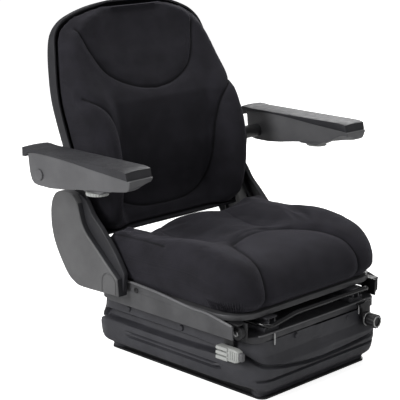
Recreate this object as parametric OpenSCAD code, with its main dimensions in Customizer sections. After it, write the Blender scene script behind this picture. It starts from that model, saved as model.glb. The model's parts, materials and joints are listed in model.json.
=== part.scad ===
// Tractor suspension seat: scissor suspension in a bellows, slide rails,
// pan with cushion, reclining backrest, side covers and folding armrests.
// X is across the seat, the sitter faces -Y, Z is up, and the origin is
// on the floor under the centre of the base plate.

/* [Base] */
// Width of the base plate across the seat
base_w = 300; // [290:2:320]
// Length of the base plate
base_d = 416; // [400:2:430]
// Thickness of the base plate
base_t = 4; // [3:0.5:5]
// Distance of the mounting holes from the side edges of the base plate
bolt_edge = 12; // [10:0.5:16]
// Distance between the mounting holes along the seat
bolt_y = 300; // [270:2:320]
// Diameter of the mounting holes
bolt_d = 9; // [7:0.5:11]
/* [Suspension] */
// Vertical travel of the suspension
travel = 60; // [40:2:60]
// Length of a scissor arm between its pivots
arm_len = 300; // [290:1:304]
// Thickness of a scissor arm
arm_t = 6; // [4:0.5:7]
// Depth of a scissor arm
arm_h = 26; // [20:1:26]
// Distance from the middle of the seat to a rear scissor pivot
pivot_y = 150; // [144:1:152]
// Diameter of a guide roller
roller_d = 22; // [18:0.5:22]
// Diameter of the pivot shafts
shaft_d = 12; // [8:0.5:14]
// Length of the roller tracks
track_len = 330; // [320:2:336]
// Outer diameter of a coil spring
spring_d = 44; // [36:1:46]
// Wire diameter of a coil spring
spring_wire = 5; // [4:0.25:6]
// Working turns of a coil spring
spring_turns = 5.5; // [4.5:0.5:6.5]
// Diameter of the damper tube
damper_d = 28; // [24:1:30]
/* [Upper frame] */
// Width of the upper frame
frame_w = 374; // [370:2:378]
// Length of the upper frame
frame_d = 436; // [430:2:440]
// Height of the rim of the upper frame
frame_h = 13; // [12:0.5:15]
// Height of the top of the upper frame above the floor
frame_top = 131; // [129:0.5:133]
// Corner radius of the upper frame
frame_r = 30; // [26:1:34]
// Wall of the rubber bellows
bellows_t = 3; // [2:0.25:4]
/* [Slide rails] */
// Distance from the middle of the seat to a slide rail
rail_x = 126; // [120:1:130]
// Width of the lower slide rail
rail_w = 40; // [36:1:42]
// Length of a slide rail
rail_len = 400; // [380:2:410]
// Diameter of the slide release bar
bar_d = 9; // [8:0.5:11]
/* [Seat] */
// Width of the seat pan
pan_w = 428; // [420:2:432]
// Height of the pan rim
pan_rim = 11; // [9:0.5:12]
// Height of the top of the pan above the floor
pan_top = 172; // [170:0.5:176]
// Thickness of a side plate of the pan
side_t = 3.5; // [2.5:0.25:4]
// Largest width of the seat cushion
cushion_w = 444; // [436:2:444]
// Height of the seat cushion at its side bolsters
cushion_h = 119; // [110:1:122]
/* [Backrest] */
// Height of the recline axis above the floor
recline_z = 185; // [182:0.5:190]
// Place of the recline axis along the seat
recline_y = 185; // [182:0.5:188]
// Largest width of the backrest
back_w = 416; // [400:2:418]
// Height of the top of the backrest above the floor
back_top = 704; // [690:2:720]
// Depth of the rim of the rear shell
shell_rim = 30; // [24:1:34]
// Wall of the rear shell
shell_t = 4; // [3:0.25:5]
// Width of a side cover
cover_w = 26; // [23:0.5:30]
// Wall of a side cover
cover_t = 3; // [2:0.25:3.5]
/* [Armrests] */
// Distance between an armrest and its bracket
armrest_gap = 49; // [44:0.5:54]
// Width of an armrest
armrest_w = 65; // [58:1:68]
// Height of the armrest axis above the floor
armrest_z = 401; // [398:0.5:404]
// Place of the armrest axis along the seat
armrest_y = 205; // [202:0.5:208]
// Diameter of the armrest adjusting wheel
wheel_d = 52; // [44:1:54]
/* [Controls] */
// Diameter of the preload knob
knob_d = 28; // [24:1:32]
// Diameter of the preload screw
screw_d = 10; // [8:0.5:12]
/* [Fits] */
// Radial running clearance of a pin in its bore
fit = 0.05; // [0.02:0.01:0.1]
// Clearance between soft parts and their neighbours
soft_gap = 0.3; // [0.3:0.05:0.5]
// Clearance of a roller in its track, above and below
roller_gap = 0.5; // [0.4:0.05:0.6]

/* [Hidden] */
$fn = 48;

// Colours
black_steel = "#1c1c1e";
steel = "#8b8d90";
rubber = "#3c3c40";
fabric = "#26252a";
grey_plastic = "#626364";
light_plastic = "#a9aba8";
pan_steel = "#4b4b4d";

// Steel section and plate thickness inside the suspension
plate_t = 3;
// Heights of the lower and upper scissor pivots
track_in = roller_d + 2 * roller_gap;
track_h = track_in + 2 * plate_t;
low_z = base_t + track_h / 2;
frame_under = frame_top - plate_t;
up_z = frame_under - track_h / 2;
// Angle of the arms at rest, and the place of the front rollers
arm_angle = asin((up_z - low_z) / arm_len);
front_y = pivot_y - arm_len * cos(arm_angle);
mid_y = pivot_y - arm_len / 2 * cos(arm_angle);
mid_z = (up_z + low_z) / 2;
// Planes of the arms and of the tracks across the seat
bolt_x = base_w - 2 * bolt_edge;
arm_inset = 110;
inner_arm_x = frame_w / 2 - arm_inset;
low_track_x = inner_arm_x + arm_t + 1.5;
track_w = 15.5;
outer_arm_x = low_track_x + track_w + 4;
up_track_x = outer_arm_x - 1.5 - track_w;
// Cross tubes of the scissor
tube_d = 18;
tube_s = 45;
// Damper eyes
damper_low = [-150, 22];
damper_up = [60, frame_under - 18];
damper_eye = 13;
damper_pin = 10;
damper_play = 2.5;
damper_len = norm(damper_up - damper_low);
damper_angle = atan2(damper_up[1] - damper_low[1], damper_up[0] - damper_low[0]);
// Coil springs
spring_x = 48;
spring_y = -40;
// Bellows, from the plate up to the rim of the upper frame
bellows_z0 = base_t + soft_gap;
bellows_z1 = frame_top - frame_h - soft_gap;
bellows_a = frame_w / 2;
bellows_b = frame_d / 2;
// Slide rails
rail_t = 3;
low_rail_h = 10;
rail_y0 = -209;
up_rail_z1 = 159;
bar_pivot = [-112, 149];
bar_y = -222;
bar_x = rail_x + rail_w / 2 + bar_d / 2 + 2;
// Preload knob
knob_x = 134;
knob_z = 97;
// Height lever
lever_axis = [-163, 99];
lever_x = 196;
// Side plates, arms and covers across the seat
pan_x = pan_w / 2;
plate_x1 = pan_x + side_t;
arm_plate_t = 5;
side_arm_x = pan_x + 12;
cover_x = side_arm_x - 2;
cover_x1 = cover_x + cover_w;
// Armrests
arm_x1 = side_arm_x + arm_plate_t + armrest_gap + armrest_w;
arm_x0 = arm_x1 - armrest_w;

// Rectangle with round corners, centred
module round_rect(w, d, r) {
  square([w - 2 * r, d], center = true);
  square([w, d - 2 * r], center = true);
  for (sx = [-1, 1], sy = [-1, 1])
    translate([sx * (w / 2 - r), sy * (d / 2 - r)]) circle(r);
}

// Bar between two round ends of its own radii
module link2d(p, rp, q, rq) {
  d = norm(q - p);
  a = atan2(q[1] - p[1], q[0] - p[0]);
  b = acos((rp - rq) / d);
  polygon([
    p + rp * [cos(a + b), sin(a + b)],
    p + rp * [cos(a - b), sin(a - b)],
    q + rq * [cos(a - b), sin(a - b)],
    q + rq * [cos(a + b), sin(a + b)]
  ]);
  translate(p) circle(rp);
  translate(q) circle(rq);
}

// Extrudes a profile drawn in the Y-Z plane from x to x + w
module along_x(x, w) {
  translate([x, 0, 0]) rotate([90, 0, 90]) linear_extrude(w) children();
}

// Extrudes a profile drawn in the X-Z plane from y to y + l
module along_y(y, l) {
  translate([0, y + l, 0]) rotate([90, 0, 0]) linear_extrude(l) children();
}

// Round bar along X between two planes
module bar_x(x0, x1, y, z, d) {
  translate([x0, y, z]) rotate([0, 90, 0]) cylinder(d = d, h = x1 - x0);
}

// Round bar along Y between two planes
module bar_along_y(x, y0, y1, z, d) {
  translate([x, y0, z]) rotate([-90, 0, 0]) cylinder(d = d, h = y1 - y0);
}

// Hexagon head with its flats across X
module hex_head(x, y, z, d, h) {
  translate([x, y, z]) rotate([0, 90, 0]) cylinder(d = d, h = h, $fn = 6);
}

// Middle of a ring of points
function middle(ring) = [for (k = [0 : 2]) [for (p = ring) p[k]] * [for (p = ring) 1] / len(ring)];

// Closed skin through rings that all have the same number of points
module loft(rings) {
  n = len(rings[0]);
  m = len(rings);
  points = concat([for (r = rings) for (p = r) p], [middle(rings[0]), middle(rings[m - 1])]);
  sides = [for (i = [0 : m - 2]) for (j = [0 : n - 1])
    let (a = i * n + j, b = i * n + (j + 1) % n)
    each [[a, b + n, b], [a, a + n, b + n]]];
  polyhedron(points, concat(
    sides,
    [for (j = [0 : n - 1]) [j, (j + 1) % n, m * n]],
    [for (j = [0 : n - 1]) [(m - 1) * n + (j + 1) % n, (m - 1) * n + j, m * n + 1]]
  ), convexity = 6);
}

// Closed skin through a closed loop of rings
module loft_loop(rings) {
  n = len(rings[0]);
  m = len(rings);
  points = [for (r = rings) for (p = r) p];
  polyhedron(points, [for (i = [0 : m - 1]) for (j = [0 : n - 1])
    let (a = i * n + j, b = i * n + (j + 1) % n,
         c = ((i + 1) % m) * n + j, d = ((i + 1) % m) * n + (j + 1) % n)
    each [[a, d, b], [a, c, d]]], convexity = 8);
}

// Values between the stations of a table of [position, value, ...]
function blend_at(t, x, k) =
  x <= t[0][0] ? t[0][k] :
  x >= t[len(t) - 1][0] ? t[len(t) - 1][k] :
  let (i = max([for (j = [0 : len(t) - 2]) t[j][0] <= x ? j : 0]),
       s = (x - t[i][0]) / (t[i + 1][0] - t[i][0]))
  t[i][k] + s * (t[i + 1][k] - t[i][k]);

// Smooth step from 0 to 1
function smooth(s) = let (c = min(max(s, 0), 1)) c * c * (3 - 2 * c);

// Ring of a rounded rectangle: straight sides in steps, corners as arcs
function round_ring(a, b, r, side = 4, corner = 4) = concat(
  [for (i = [0 : side - 1]) [a, -(b - r) + i * 2 * (b - r) / side]],
  [for (i = [0 : corner - 1]) let (t = 90 * i / corner) [a - r + r * cos(t), b - r + r * sin(t)]],
  [for (i = [0 : side - 1]) [a - r - i * 2 * (a - r) / side, b]],
  [for (i = [0 : corner - 1]) let (t = 90 + 90 * i / corner)
    [-(a - r) + r * cos(t), b - r + r * sin(t)]],
  [for (i = [0 : side - 1]) [-a, b - r - i * 2 * (b - r) / side]],
  [for (i = [0 : corner - 1]) let (t = 180 + 90 * i / corner)
    [-(a - r) + r * cos(t), -(b - r) + r * sin(t)]],
  [for (i = [0 : side - 1]) [-(a - r) + i * 2 * (a - r) / side, -b]],
  [for (i = [0 : corner - 1]) let (t = 270 + 90 * i / corner)
    [a - r + r * cos(t), -(b - r) + r * sin(t)]]
);

// Ring lifted to a height
function at_z(ring, z) = [for (p = ring) [p[0], p[1], z]];

// Unit vector
function unit(v) = v / norm(v);

// Path with every corner rounded off from a distance r before it to r after it
function round_path(p, r) = concat(
  [p[0]],
  [for (i = [1 : len(p) - 2])
    let (b = p[i], s = b + r * unit(p[i - 1] - b), e = b + r * unit(p[i + 1] - b))
    each [for (t = [0 : 0.25 : 1]) (1 - t) * (1 - t) * s + 2 * t * (1 - t) * b + t * t * e]],
  [p[len(p) - 1]]
);

// Round tube along a path that never runs straight up
module tube(path, d, sides = 10) {
  n = len(path);
  loft([for (i = [0 : n - 1])
    let (t = unit(path[min(i + 1, n - 1)] - path[max(i - 1, 0)]),
         u = unit(cross([0, 0, 1], t)), v = cross(t, u))
    [for (k = [0 : sides - 1]) let (a = k * 360 / sides)
      path[i] + d / 2 * (cos(a) * u + sin(a) * v)]]);
}

// Mirrors a left-hand piece to the sitter's right
module to_side(side) {
  if (side < 0) mirror([1, 0, 0]) children();
  else children();
}

// Pressed base plate with its bolt holes and slots
module base_plate() {
  color(black_steel)
  linear_extrude(base_t)
  difference() {
    round_rect(base_w, base_d, 14);
    for (sx = [-1, 1], sy = [-1, 1]) {
      translate([sx * bolt_x / 2, sy * bolt_y / 2]) circle(d = bolt_d);
      translate([sx * bolt_x / 2, sy * (bolt_y / 2 + 32)]) square([6, 18], center = true);
    }
  }
}

// Section of a roller track, open towards the middle of the seat
module track_section() {
  difference() {
    translate([0, -track_h / 2]) square([track_w, track_h]);
    translate([-1, -track_in / 2]) square([track_w - plate_t + 1, track_in]);
  }
}

// Low roller track with a rear pivot bracket
module base_channel(side) {
  color(black_steel)
  to_side(side)
  difference() {
    translate([low_track_x, 0, low_z]) along_y(-track_len / 2, track_len) track_section();
    translate([low_track_x - 1, -100, base_t + 8])
      cube([track_w + 2, 100 + pivot_y - 20, track_h]);
    bar_x(low_track_x - 1, low_track_x + track_w + 1, pivot_y, low_z, shaft_d);
  }
}

// High roller track, open towards the outside
module upper_channel(side) {
  color(black_steel)
  to_side(side)
  difference() {
    translate([up_track_x + track_w, 0, up_z]) mirror([1, 0, 0])
      along_y(-track_len / 2, track_len) track_section();
    translate([up_track_x - 1, -100, frame_under - 8 - track_h])
      cube([track_w + 2, 100 + pivot_y - 20, track_h]);
    bar_x(up_track_x - 1, up_track_x + track_w + 1, pivot_y, up_z, shaft_d);
  }
}

// Rear pivot of the outer arms on the base
module base_pivot_shaft() {
  reach = outer_arm_x + arm_t + 4;
  color(steel) bar_x(-reach, reach, pivot_y, low_z, shaft_d);
}

// Rear pivot of the inner arms under the upper frame
module upper_pivot_shaft() {
  reach = up_track_x + plate_t + 2;
  color(steel) bar_x(-reach, reach, pivot_y, up_z, shaft_d);
}

// Rubber stops on steel posts, in front and behind
module bump_stops() {
  top = frame_under - travel - 0.5;
  for (y = [-186, 184]) {
    color(rubber)
    translate([0, y, base_t])
    rotate_extrude()
    polygon([
      [0, 0], [10, 0], [10, 3], [8, 6], [8, top - base_t - 30],
      [13, top - base_t - 26], [13, top - base_t - 12], [8, top - base_t], [0, top - base_t]
    ]);
  }
}

// Fork and pin for a damper eye
module damper_fork(eye, pin, foot_z, up) {
  for (s = [-1, 1])
    translate([s > 0 ? 10 : -10 - plate_t, 0, 0])
    along_x(0, plate_t)
    difference() {
      union() {
        translate(eye) circle(damper_eye);
        translate([eye[0] - damper_eye, up ? eye[1] : foot_z])
          square([2 * damper_eye, up ? foot_z - eye[1] : eye[1] - foot_z]);
      }
      translate(eye) circle(d = pin);
    }
  bar_x(-10 - plate_t - 3, 10 + plate_t + 3, eye[0], eye[1], pin);
}

// Lower fork of the damper on the base plate
module damper_lower_bracket() {
  color(steel) damper_fork(damper_low, damper_pin, base_t, false);
}

// Upper fork of the damper under the frame
module damper_upper_bracket() {
  color(steel) damper_fork(damper_up, damper_pin, frame_under, true);
}

// Half width, half depth and recess of the bellows at a height
bellows_rows = [
  [0, -58, -18], [0.04, -30, -9], [0.1, -8, -2], [0.21, 9, 7], [0.32, 8, 8],
  [0.37, 6, 5], [0.42, 10, 9], [0.475, 12, 11], [0.54, 11, 9], [0.575, 1, 0],
  [0.605, 1, 0], [0.64, 8, 7], [0.8, 5, 4], [1, 0, 0]
];

function bellows_ring(row, inset) =
  let (z = bellows_z0 + row[0] * (bellows_z1 - bellows_z0))
  at_z(round_ring(bellows_a + row[1] - inset, bellows_b + row[2] - inset,
    45 - inset, side = 5, corner = 5), z);

// Rubber bellows round the suspension
module bellows() {
  n = len(bellows_rows) - 1;
  color(rubber)
  difference() {
    loft_loop(concat(
      [for (i = [n : -1 : 0]) bellows_ring(bellows_rows[i], bellows_t)],
      [for (i = [0 : n]) bellows_ring(bellows_rows[i], 0)]
    ));
    bar_along_y(knob_x, -bellows_b - 20, -bellows_b + 20, knob_z, screw_d + 6);
  }
}

// Upper frame: a tray turned over, with its rim pointing down
module upper_plate() {
  color(black_steel)
  difference() {
    translate([0, 0, frame_top - frame_h])
      linear_extrude(frame_h) round_rect(frame_w, frame_d, frame_r);
    translate([0, 0, frame_top - frame_h - 1]) linear_extrude(frame_h - plate_t + 1)
      round_rect(frame_w - 2 * plate_t, frame_d - 2 * plate_t, frame_r - plate_t);
  }
}

// Lower slide rail with lips that hold the upper one
module slide_lower_rail(side) {
  w = rail_w / 2;
  color(black_steel)
  translate([side * rail_x, 0, frame_top])
  along_y(rail_y0, rail_len)
  difference() {
    translate([-w, 0]) square([rail_w, low_rail_h]);
    translate([-w + rail_t, rail_t]) square([rail_w - 2 * rail_t, low_rail_h - 2 * rail_t]);
    translate([-w + rail_t + 5, rail_t])
      square([rail_w - 2 * rail_t - 10, low_rail_h]);
  }
}

// Upper slide rail with its foot inside the lower one
module slide_upper_rail(side) {
  foot = rail_w / 2 - rail_t - 2;
  stem = rail_w / 2 - rail_t - 7;
  z0 = frame_top + rail_t + 0.5;
  color(steel) {
    translate([side * rail_x, 0, 0]) along_y(rail_y0, rail_len) {
      translate([-foot, z0]) square([2 * foot, rail_t]);
      difference() {
        translate([-stem, z0]) square([2 * stem, up_rail_z1 - z0]);
        translate([-stem + rail_t, z0 + rail_t])
          square([2 * (stem - rail_t), up_rail_z1 - z0 - 2 * rail_t]);
      }
      translate([-stem - 5, up_rail_z1 - rail_t]) square([2 * stem + 10, rail_t]);
    }
    to_side(side)
      bar_x(rail_x + stem - 1, bar_x + bar_d / 2 + 4, bar_pivot[0], bar_pivot[1], 7);
  }
}

// Bracket and bush that carry the preload knob
module adjuster_bracket() {
  y = -bellows_b - 12;
  color(black_steel)
  difference() {
    union() {
      along_y(y, plate_t) {
        link2d([knob_x, knob_z], 13, [knob_x, frame_top - 10], 13);
        translate([knob_x - 18, frame_top - 10]) square([36, 10]);
      }
      translate([knob_x - 18, y, frame_top - plate_t])
        cube([36, 12, plate_t]);
      bar_along_y(knob_x, y - 4, y, knob_z, 30);
    }
    bar_along_y(knob_x, y - 5, y + plate_t + 1, knob_z, screw_d + 2 * fit);
  }
}

// Ribbed preload knob on its screw
module preload_knob() {
  y = -bellows_b - 12 - 4;
  ribs = 12;
  color(black_steel) {
    difference() {
      bar_along_y(knob_x, y - 24, y - 6, knob_z, knob_d);
      for (i = [0 : ribs - 1])
        translate([knob_x, 0, knob_z]) rotate([0, i * 360 / ribs, 0])
          bar_along_y(knob_d / 2 + 0.6, y - 25, y - 8, 0, 4);
      bar_along_y(knob_x, y - 25, y - 22, knob_z, knob_d - 10);
    }
    bar_along_y(knob_x, y - 6.5, y - 0.4, knob_z, knob_d - 8);
    bar_along_y(knob_x, y - 1, y + 40, knob_z, screw_d);
  }
}

// Plate and pin that carry the height lever
module lever_bracket() {
  z0 = lever_axis[1] - 10;
  color(black_steel) {
    translate([-frame_w / 2 - 9, lever_axis[0] - 12, z0])
      cube([plate_t, 24, frame_top - 7 - z0]);
    translate([-frame_w / 2 - 9, lever_axis[0] - 12, frame_top - 7 - plate_t])
      cube([9, 24, plate_t]);
    bar_x(-lever_x - 18, -frame_w / 2 - 9, lever_axis[0], lever_axis[1], 8);
  }
}

// Light grey ribbed height lever
module height_lever() {
  x0 = -lever_x - 18;
  w = 16;
  color(light_plastic)
  difference() {
    union() {
      along_x(x0, w) {
        translate(lever_axis) circle(12);
        polygon([
          lever_axis + [4, -14], lever_axis + [12, -14], lever_axis + [12, 16],
          lever_axis + [-14, 16], lever_axis + [-18, 12], lever_axis + [-36, 10],
          lever_axis + [-36, -12], lever_axis + [-14, -14]
        ]);
        translate(lever_axis + [-36, -1]) circle(11);
      }
      for (i = [0 : 2])
        translate([x0 - 2.5, lever_axis[0] - 14, lever_axis[1] - 12 + i * 10])
          cube([4, 24, 6]);
      for (i = [0 : 3])
        translate([x0 - 2, lever_axis[0] - 20 - i * 4, lever_axis[1] - 9]) cube([3, 2, 18]);
    }
    bar_x(x0 - 5, x0 + w + 1, lever_axis[0], lever_axis[1], 8 + 2 * fit);
  }
}

// Points along a helix that stands on the XY plane
function helix(r, h, turns, step) =
  [for (i = [0 : turns * step]) let (t = i * 360 / step)
    [r * cos(t), r * sin(t), h * i / (turns * step)]];

// Coil spring between the base plate and the upper frame
module coil_spring(side) {
  z0 = base_t + spring_wire / 2 + soft_gap;
  z1 = frame_under - spring_wire / 2 - soft_gap;
  r = (spring_d - spring_wire) / 2;
  wire_sides = 6;
  path = helix(r, z1 - z0, spring_turns, 14);
  color(steel)
  translate([side * spring_x, spring_y, z0])
  loft([for (i = [0 : len(path) - 1]) let (t = i * 360 / 14)
    [for (k = [0 : wire_sides - 1]) let (a = -k * 360 / wire_sides, e = spring_wire / 2)
      path[i] + [e * cos(a) * cos(t), e * cos(a) * sin(t), e * sin(a)]]]);
}

// Outline of a scissor arm from its pivot p towards the front at an angle
module arm_outline(p, angle) {
  q = p + arm_len * [-cos(angle), sin(angle)];
  link2d(p, arm_h / 2, q, arm_h / 2);
}

// Arm that turns on the base and runs in the upper track
module outer_arm(side) {
  p = [pivot_y, low_z];
  q = [front_y, up_z];
  color(black_steel)
  to_side(side)
  difference() {
    along_x(outer_arm_x, arm_t) arm_outline(p, arm_angle);
    bar_x(outer_arm_x - 1, outer_arm_x + arm_t + 1, p[0], p[1], shaft_d + 2 * fit);
    bar_x(outer_arm_x - 1, outer_arm_x + arm_t + 1, q[0], q[1], 10);
    bar_x(outer_arm_x - 1, outer_arm_x + arm_t + 1, mid_y, mid_z, 14);
  }
}

// Arm that turns under the frame and runs in the lower track
module inner_arm(side) {
  p = [pivot_y, up_z];
  q = [front_y, low_z];
  color(black_steel)
  to_side(side)
  difference() {
    along_x(inner_arm_x, arm_t) arm_outline(p, -arm_angle);
    bar_x(inner_arm_x - 1, inner_arm_x + arm_t + 1, p[0], p[1], shaft_d + 2 * fit);
    bar_x(inner_arm_x - 1, inner_arm_x + arm_t + 1, q[0], q[1], 10);
    bar_x(inner_arm_x - 1, inner_arm_x + arm_t + 1, mid_y, mid_z, 15);
  }
}

// Tube that ties the outer arms together
module outer_cross_tube() {
  y = pivot_y - tube_s * cos(arm_angle);
  z = low_z + tube_s * sin(arm_angle);
  color(black_steel)
  difference() {
    bar_x(-outer_arm_x, outer_arm_x, y, z, tube_d);
    bar_x(-outer_arm_x - 1, outer_arm_x + 1, y, z, tube_d - 4);
  }
}

// Tube that ties the inner arms together
module inner_cross_tube() {
  y = pivot_y - tube_s * cos(arm_angle);
  z = up_z - tube_s * sin(arm_angle);
  color(black_steel)
  difference() {
    bar_x(-inner_arm_x, inner_arm_x, y, z, tube_d);
    bar_x(-inner_arm_x - 1, inner_arm_x + 1, y, z, tube_d - 4);
  }
}

// Pins through the crossing arms
module centre_pivot_pins() {
  for (side = [-1, 1])
    color(steel) to_side(side) {
      bar_x(inner_arm_x - 3, outer_arm_x + arm_t, mid_y, mid_z, 14);
      bar_x(outer_arm_x + arm_t, outer_arm_x + arm_t + 3, mid_y, mid_z, 20);
    }
}

// Rollers of the outer arms with their stub pins
module outer_rollers() {
  for (side = [-1, 1]) to_side(side) {
    color(grey_plastic)
      bar_x(up_track_x + plate_t + 1, up_track_x + track_w - 0.5, front_y, up_z, roller_d);
    color(steel)
      bar_x(up_track_x + track_w - 0.5, outer_arm_x + arm_t + 1, front_y, up_z, 10);
  }
}

// Rollers of the inner arms with their stub pins
module inner_rollers() {
  for (side = [-1, 1]) to_side(side) {
    color(grey_plastic)
      bar_x(low_track_x + 0.5, low_track_x + track_w - plate_t - 1, front_y, low_z, roller_d);
    color(steel) bar_x(inner_arm_x - 1, low_track_x + 0.5, front_y, low_z, 10);
  }
}

// Damper tube with its lower eye
module damper_tube() {
  color(black_steel)
  translate([0, damper_low[0], damper_low[1]])
  rotate([damper_angle, 0, 0])
  difference() {
    union() {
      bar_along_y(0, damper_eye + 3, 128, 0, damper_d - 2);
      bar_along_y(0, 8, damper_eye + 4, 0, 14);
      bar_x(-9, 9, 0, 0, 2 * damper_eye - 3);
    }
    bar_along_y(0, 22, 129, 0, 11);
    bar_x(-10, 10, 0, 0, damper_pin + 2 * fit);
  }
}

// Damper rod with its upper eye
module damper_rod() {
  color(steel)
  translate([0, damper_low[0], damper_low[1]])
  rotate([damper_angle, 0, 0])
  difference() {
    union() {
      bar_along_y(0, 60, damper_len - damper_eye + 2, 0, 10);
      bar_x(-9, 9, damper_len, 0, 2 * damper_eye);
    }
    bar_x(-10, 10, damper_len, 0, damper_pin + 2 * damper_play);
  }
}

// Pressed seat pan with cross members to the slide rails
module seat_pan() {
  y0 = -200;
  y1 = 188;
  color(pan_steel) {
    translate([0, (y0 + y1) / 2, 0])
    difference() {
      translate([0, 0, pan_top - pan_rim]) linear_extrude(pan_rim)
        round_rect(pan_w, y1 - y0, 60);
      translate([0, 0, pan_top - pan_rim - 1]) linear_extrude(pan_rim - 2.5 + 1)
        round_rect(pan_w - 6, y1 - y0 - 6, 57);
    }
    for (y = [-160, 110])
      translate([-rail_x - rail_w / 2, y, up_rail_z1])
        cube([2 * rail_x + rail_w, 36, pan_top - 2.5 - up_rail_z1]);
  }
}

// Side plate of the pan, with the lobe of the recline axis
module pan_side_plate(side) {
  color(pan_steel)
  to_side(side)
  difference() {
    along_x(pan_x, side_t) {
      polygon([
        [-193, 131], [150, 131], [186, recline_z - 24], [recline_y, recline_z],
        [114, 176], [91, 183], [-1, 179], [-83, 170], [-126, 169], [-167, 162], [-193, 156]
      ]);
      translate([recline_y, recline_z]) circle(24);
      link2d([recline_y, recline_z], 10, [120, 155], 22);
    }
    bar_x(pan_x - 1, plate_x1 + 1, 67, 169, 7);
    bar_x(pan_x - 1, plate_x1 + 1, recline_y, recline_z, shaft_d);
  }
}

// Round boss with a bolt at a front corner of the pan
module front_hub(side) {
  x = frame_w / 2 + 3;
  color(black_steel)
  to_side(side) {
    translate([x, -207, 128]) cube([plate_t, 34, pan_top - pan_rim - 128]);
    bar_x(x + plate_t, x + 12, -191, 141, 27);
    hex_head(x + 12, -191, 141, 11, 4);
    translate([x, -200, pan_top - pan_rim - 3]) cube([pan_x - 4 - x, 27, 3]);
  }
}

// Shouldered bolts of the recline axis
module recline_bolts() {
  color(steel)
  for (side = [-1, 1]) to_side(side) {
    bar_x(pan_x - 5, side_arm_x + arm_plate_t + 1, recline_y, recline_z, shaft_d);
    bar_x(plate_x1, side_arm_x - 0.4, recline_y, recline_z, 24);
    hex_head(pan_x - 5 - 7, recline_y, recline_z, 20, 7);
    bar_x(side_arm_x + arm_plate_t + 0.4, side_arm_x + arm_plate_t + 5, recline_y, recline_z, 22);
    bar_x(side_arm_x, lever_plate_x + 6, recline_y, recline_z, shaft_d);
  }
}

// Places of the seat cushion along the seat
cushion_y0 = -212;
cushion_y1 = 195;
cushion_z0 = pan_top + soft_gap;

// Height of the cushion top over the pan along Y: middle, valley beside it, bolster ridge
cushion_tops = [
  [-212, 62, 66, 70], [-190, 76, 78, 84], [-160, 92, 90, 100], [-120, 101, 97, 113],
  [-80, 103, 96, 119], [-40, 99, 91, 119], [0, 91, 80, 113], [50, 90, 73, 101],
  [100, 94, 75, 92], [135, 96, 78, 88], [150, 95, 77, 83], [162, 88, 74, 77],
  [175, 76, 67, 70], [195, 56, 50, 50]
];

// Height of the cushion top
function cushion_z(x, y) =
  let (s = abs(x),
       k = cushion_h / cushion_tops[4][3],
       middle_h = blend_at(cushion_tops, y, 1),
       valley_h = blend_at(cushion_tops, y, 2),
       ridge_h = blend_at(cushion_tops, y, 3))
  cushion_z0 + k * (s < 100
    ? middle_h + (valley_h - middle_h) * smooth(s / 100)
    : valley_h + (ridge_h - valley_h) * smooth((s - 100) / 82));

// Share of the height and inset of each ring of the cushion, from the pan up
cushion_rows = [
  [0, 18], [0.07, 11], [0.16, 9], [0.22, 2], [0.32, 0], [0.5, 0], [0.7, 4], [0.87, 13],
  [0.97, 26], [1, 40], [1, 56], [1, 76], [1, 98], [1, 122], [1, 146], [1, 168]
];

function cushion_ring(row) =
  let (a = cushion_w / 2 - row[1], b = (cushion_y1 - cushion_y0) / 2 - row[1],
       c = (cushion_y0 + cushion_y1) / 2)
  [for (p = round_ring(a, b, max(62 - row[1] * 0.5, 20), side = 5, corner = 4))
    let (y = p[1] + c)
    [p[0], y, cushion_z0 + row[0] * (cushion_z(p[0], y) - cushion_z0)]];

// Seat cushion with side bolsters
module seat_cushion() {
  color(fabric) loft([for (r = cushion_rows) cushion_ring(r)]);
}

// Slide release bar across the front
module slide_release_bar() {
  p = [
    [-bar_x, bar_pivot[0] - 5, bar_pivot[1]], [-bar_x, bar_y + 16, bar_pivot[1]],
    [-bar_x + 8, bar_y, 147], [-72, bar_y, 158], [rail_x + 18, bar_y, 158],
    [bar_x, bar_y + 12, bar_pivot[1]], [bar_x, bar_pivot[0] - 5, bar_pivot[1]]
  ];
  color(black_steel) {
    tube(round_path(p, 7), bar_d);
    for (s = [-1, 1]) difference() {
      bar_x(s * bar_x - bar_d / 2 - 1, s * bar_x + bar_d / 2 + 1, bar_pivot[0], bar_pivot[1], 17);
      bar_x(s * bar_x - bar_d, s * bar_x + bar_d, bar_pivot[0], bar_pivot[1], 7 + 2 * fit);
    }
  }
}

// Backrest stations: height, front, back, half width
back_rows = [
  [258, 178, 212, 178], [268, 166, 224, 190], [290, 158, 234, 198], [330, 150, 248, 204],
  [380, 150, 266, 208], [440, 160, 286, 208], [500, 190, 303, 208], [535, 216, 311, 208],
  [560, 238, 316, 208], [600, 262, 325, 208], [630, 276, 331, 208], [650, 283, 334, 204],
  [668, 288, 335, 185], [680, 291, 335, 160], [692, 294, 333, 122], [704, 297, 326, 66]
];

// Depth of the middle of the backrest behind its bolsters at a height
back_dish = [
  [258, 14], [275, 28], [290, 44], [310, 60], [330, 66], [380, 58], [440, 50], [480, 36],
  [510, 24], [535, 18], [560, 12], [600, 5], [704, 3]
];

function back_at(z, k) = blend_at(back_rows, z, k) * (k == 3 ? back_w / 416 : 1);

function back_z(z) = 258 + (z - 258) * (back_top - 258) / (704 - 258);

// Point of the shell: u runs across, v up, gap is how far inside the outer face
function shell_point(u, v, gap) =
  let (z = 258 + gap + v[0] * (704 - 258 - 2 * gap), w = back_at(z, 3) - gap,
       s = u[0] * w, back = back_at(z, 2) - gap,
       drop = max(u[1], v[1]) * (shell_rim - gap))
  [s, back - drop, back_z(z)];

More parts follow.
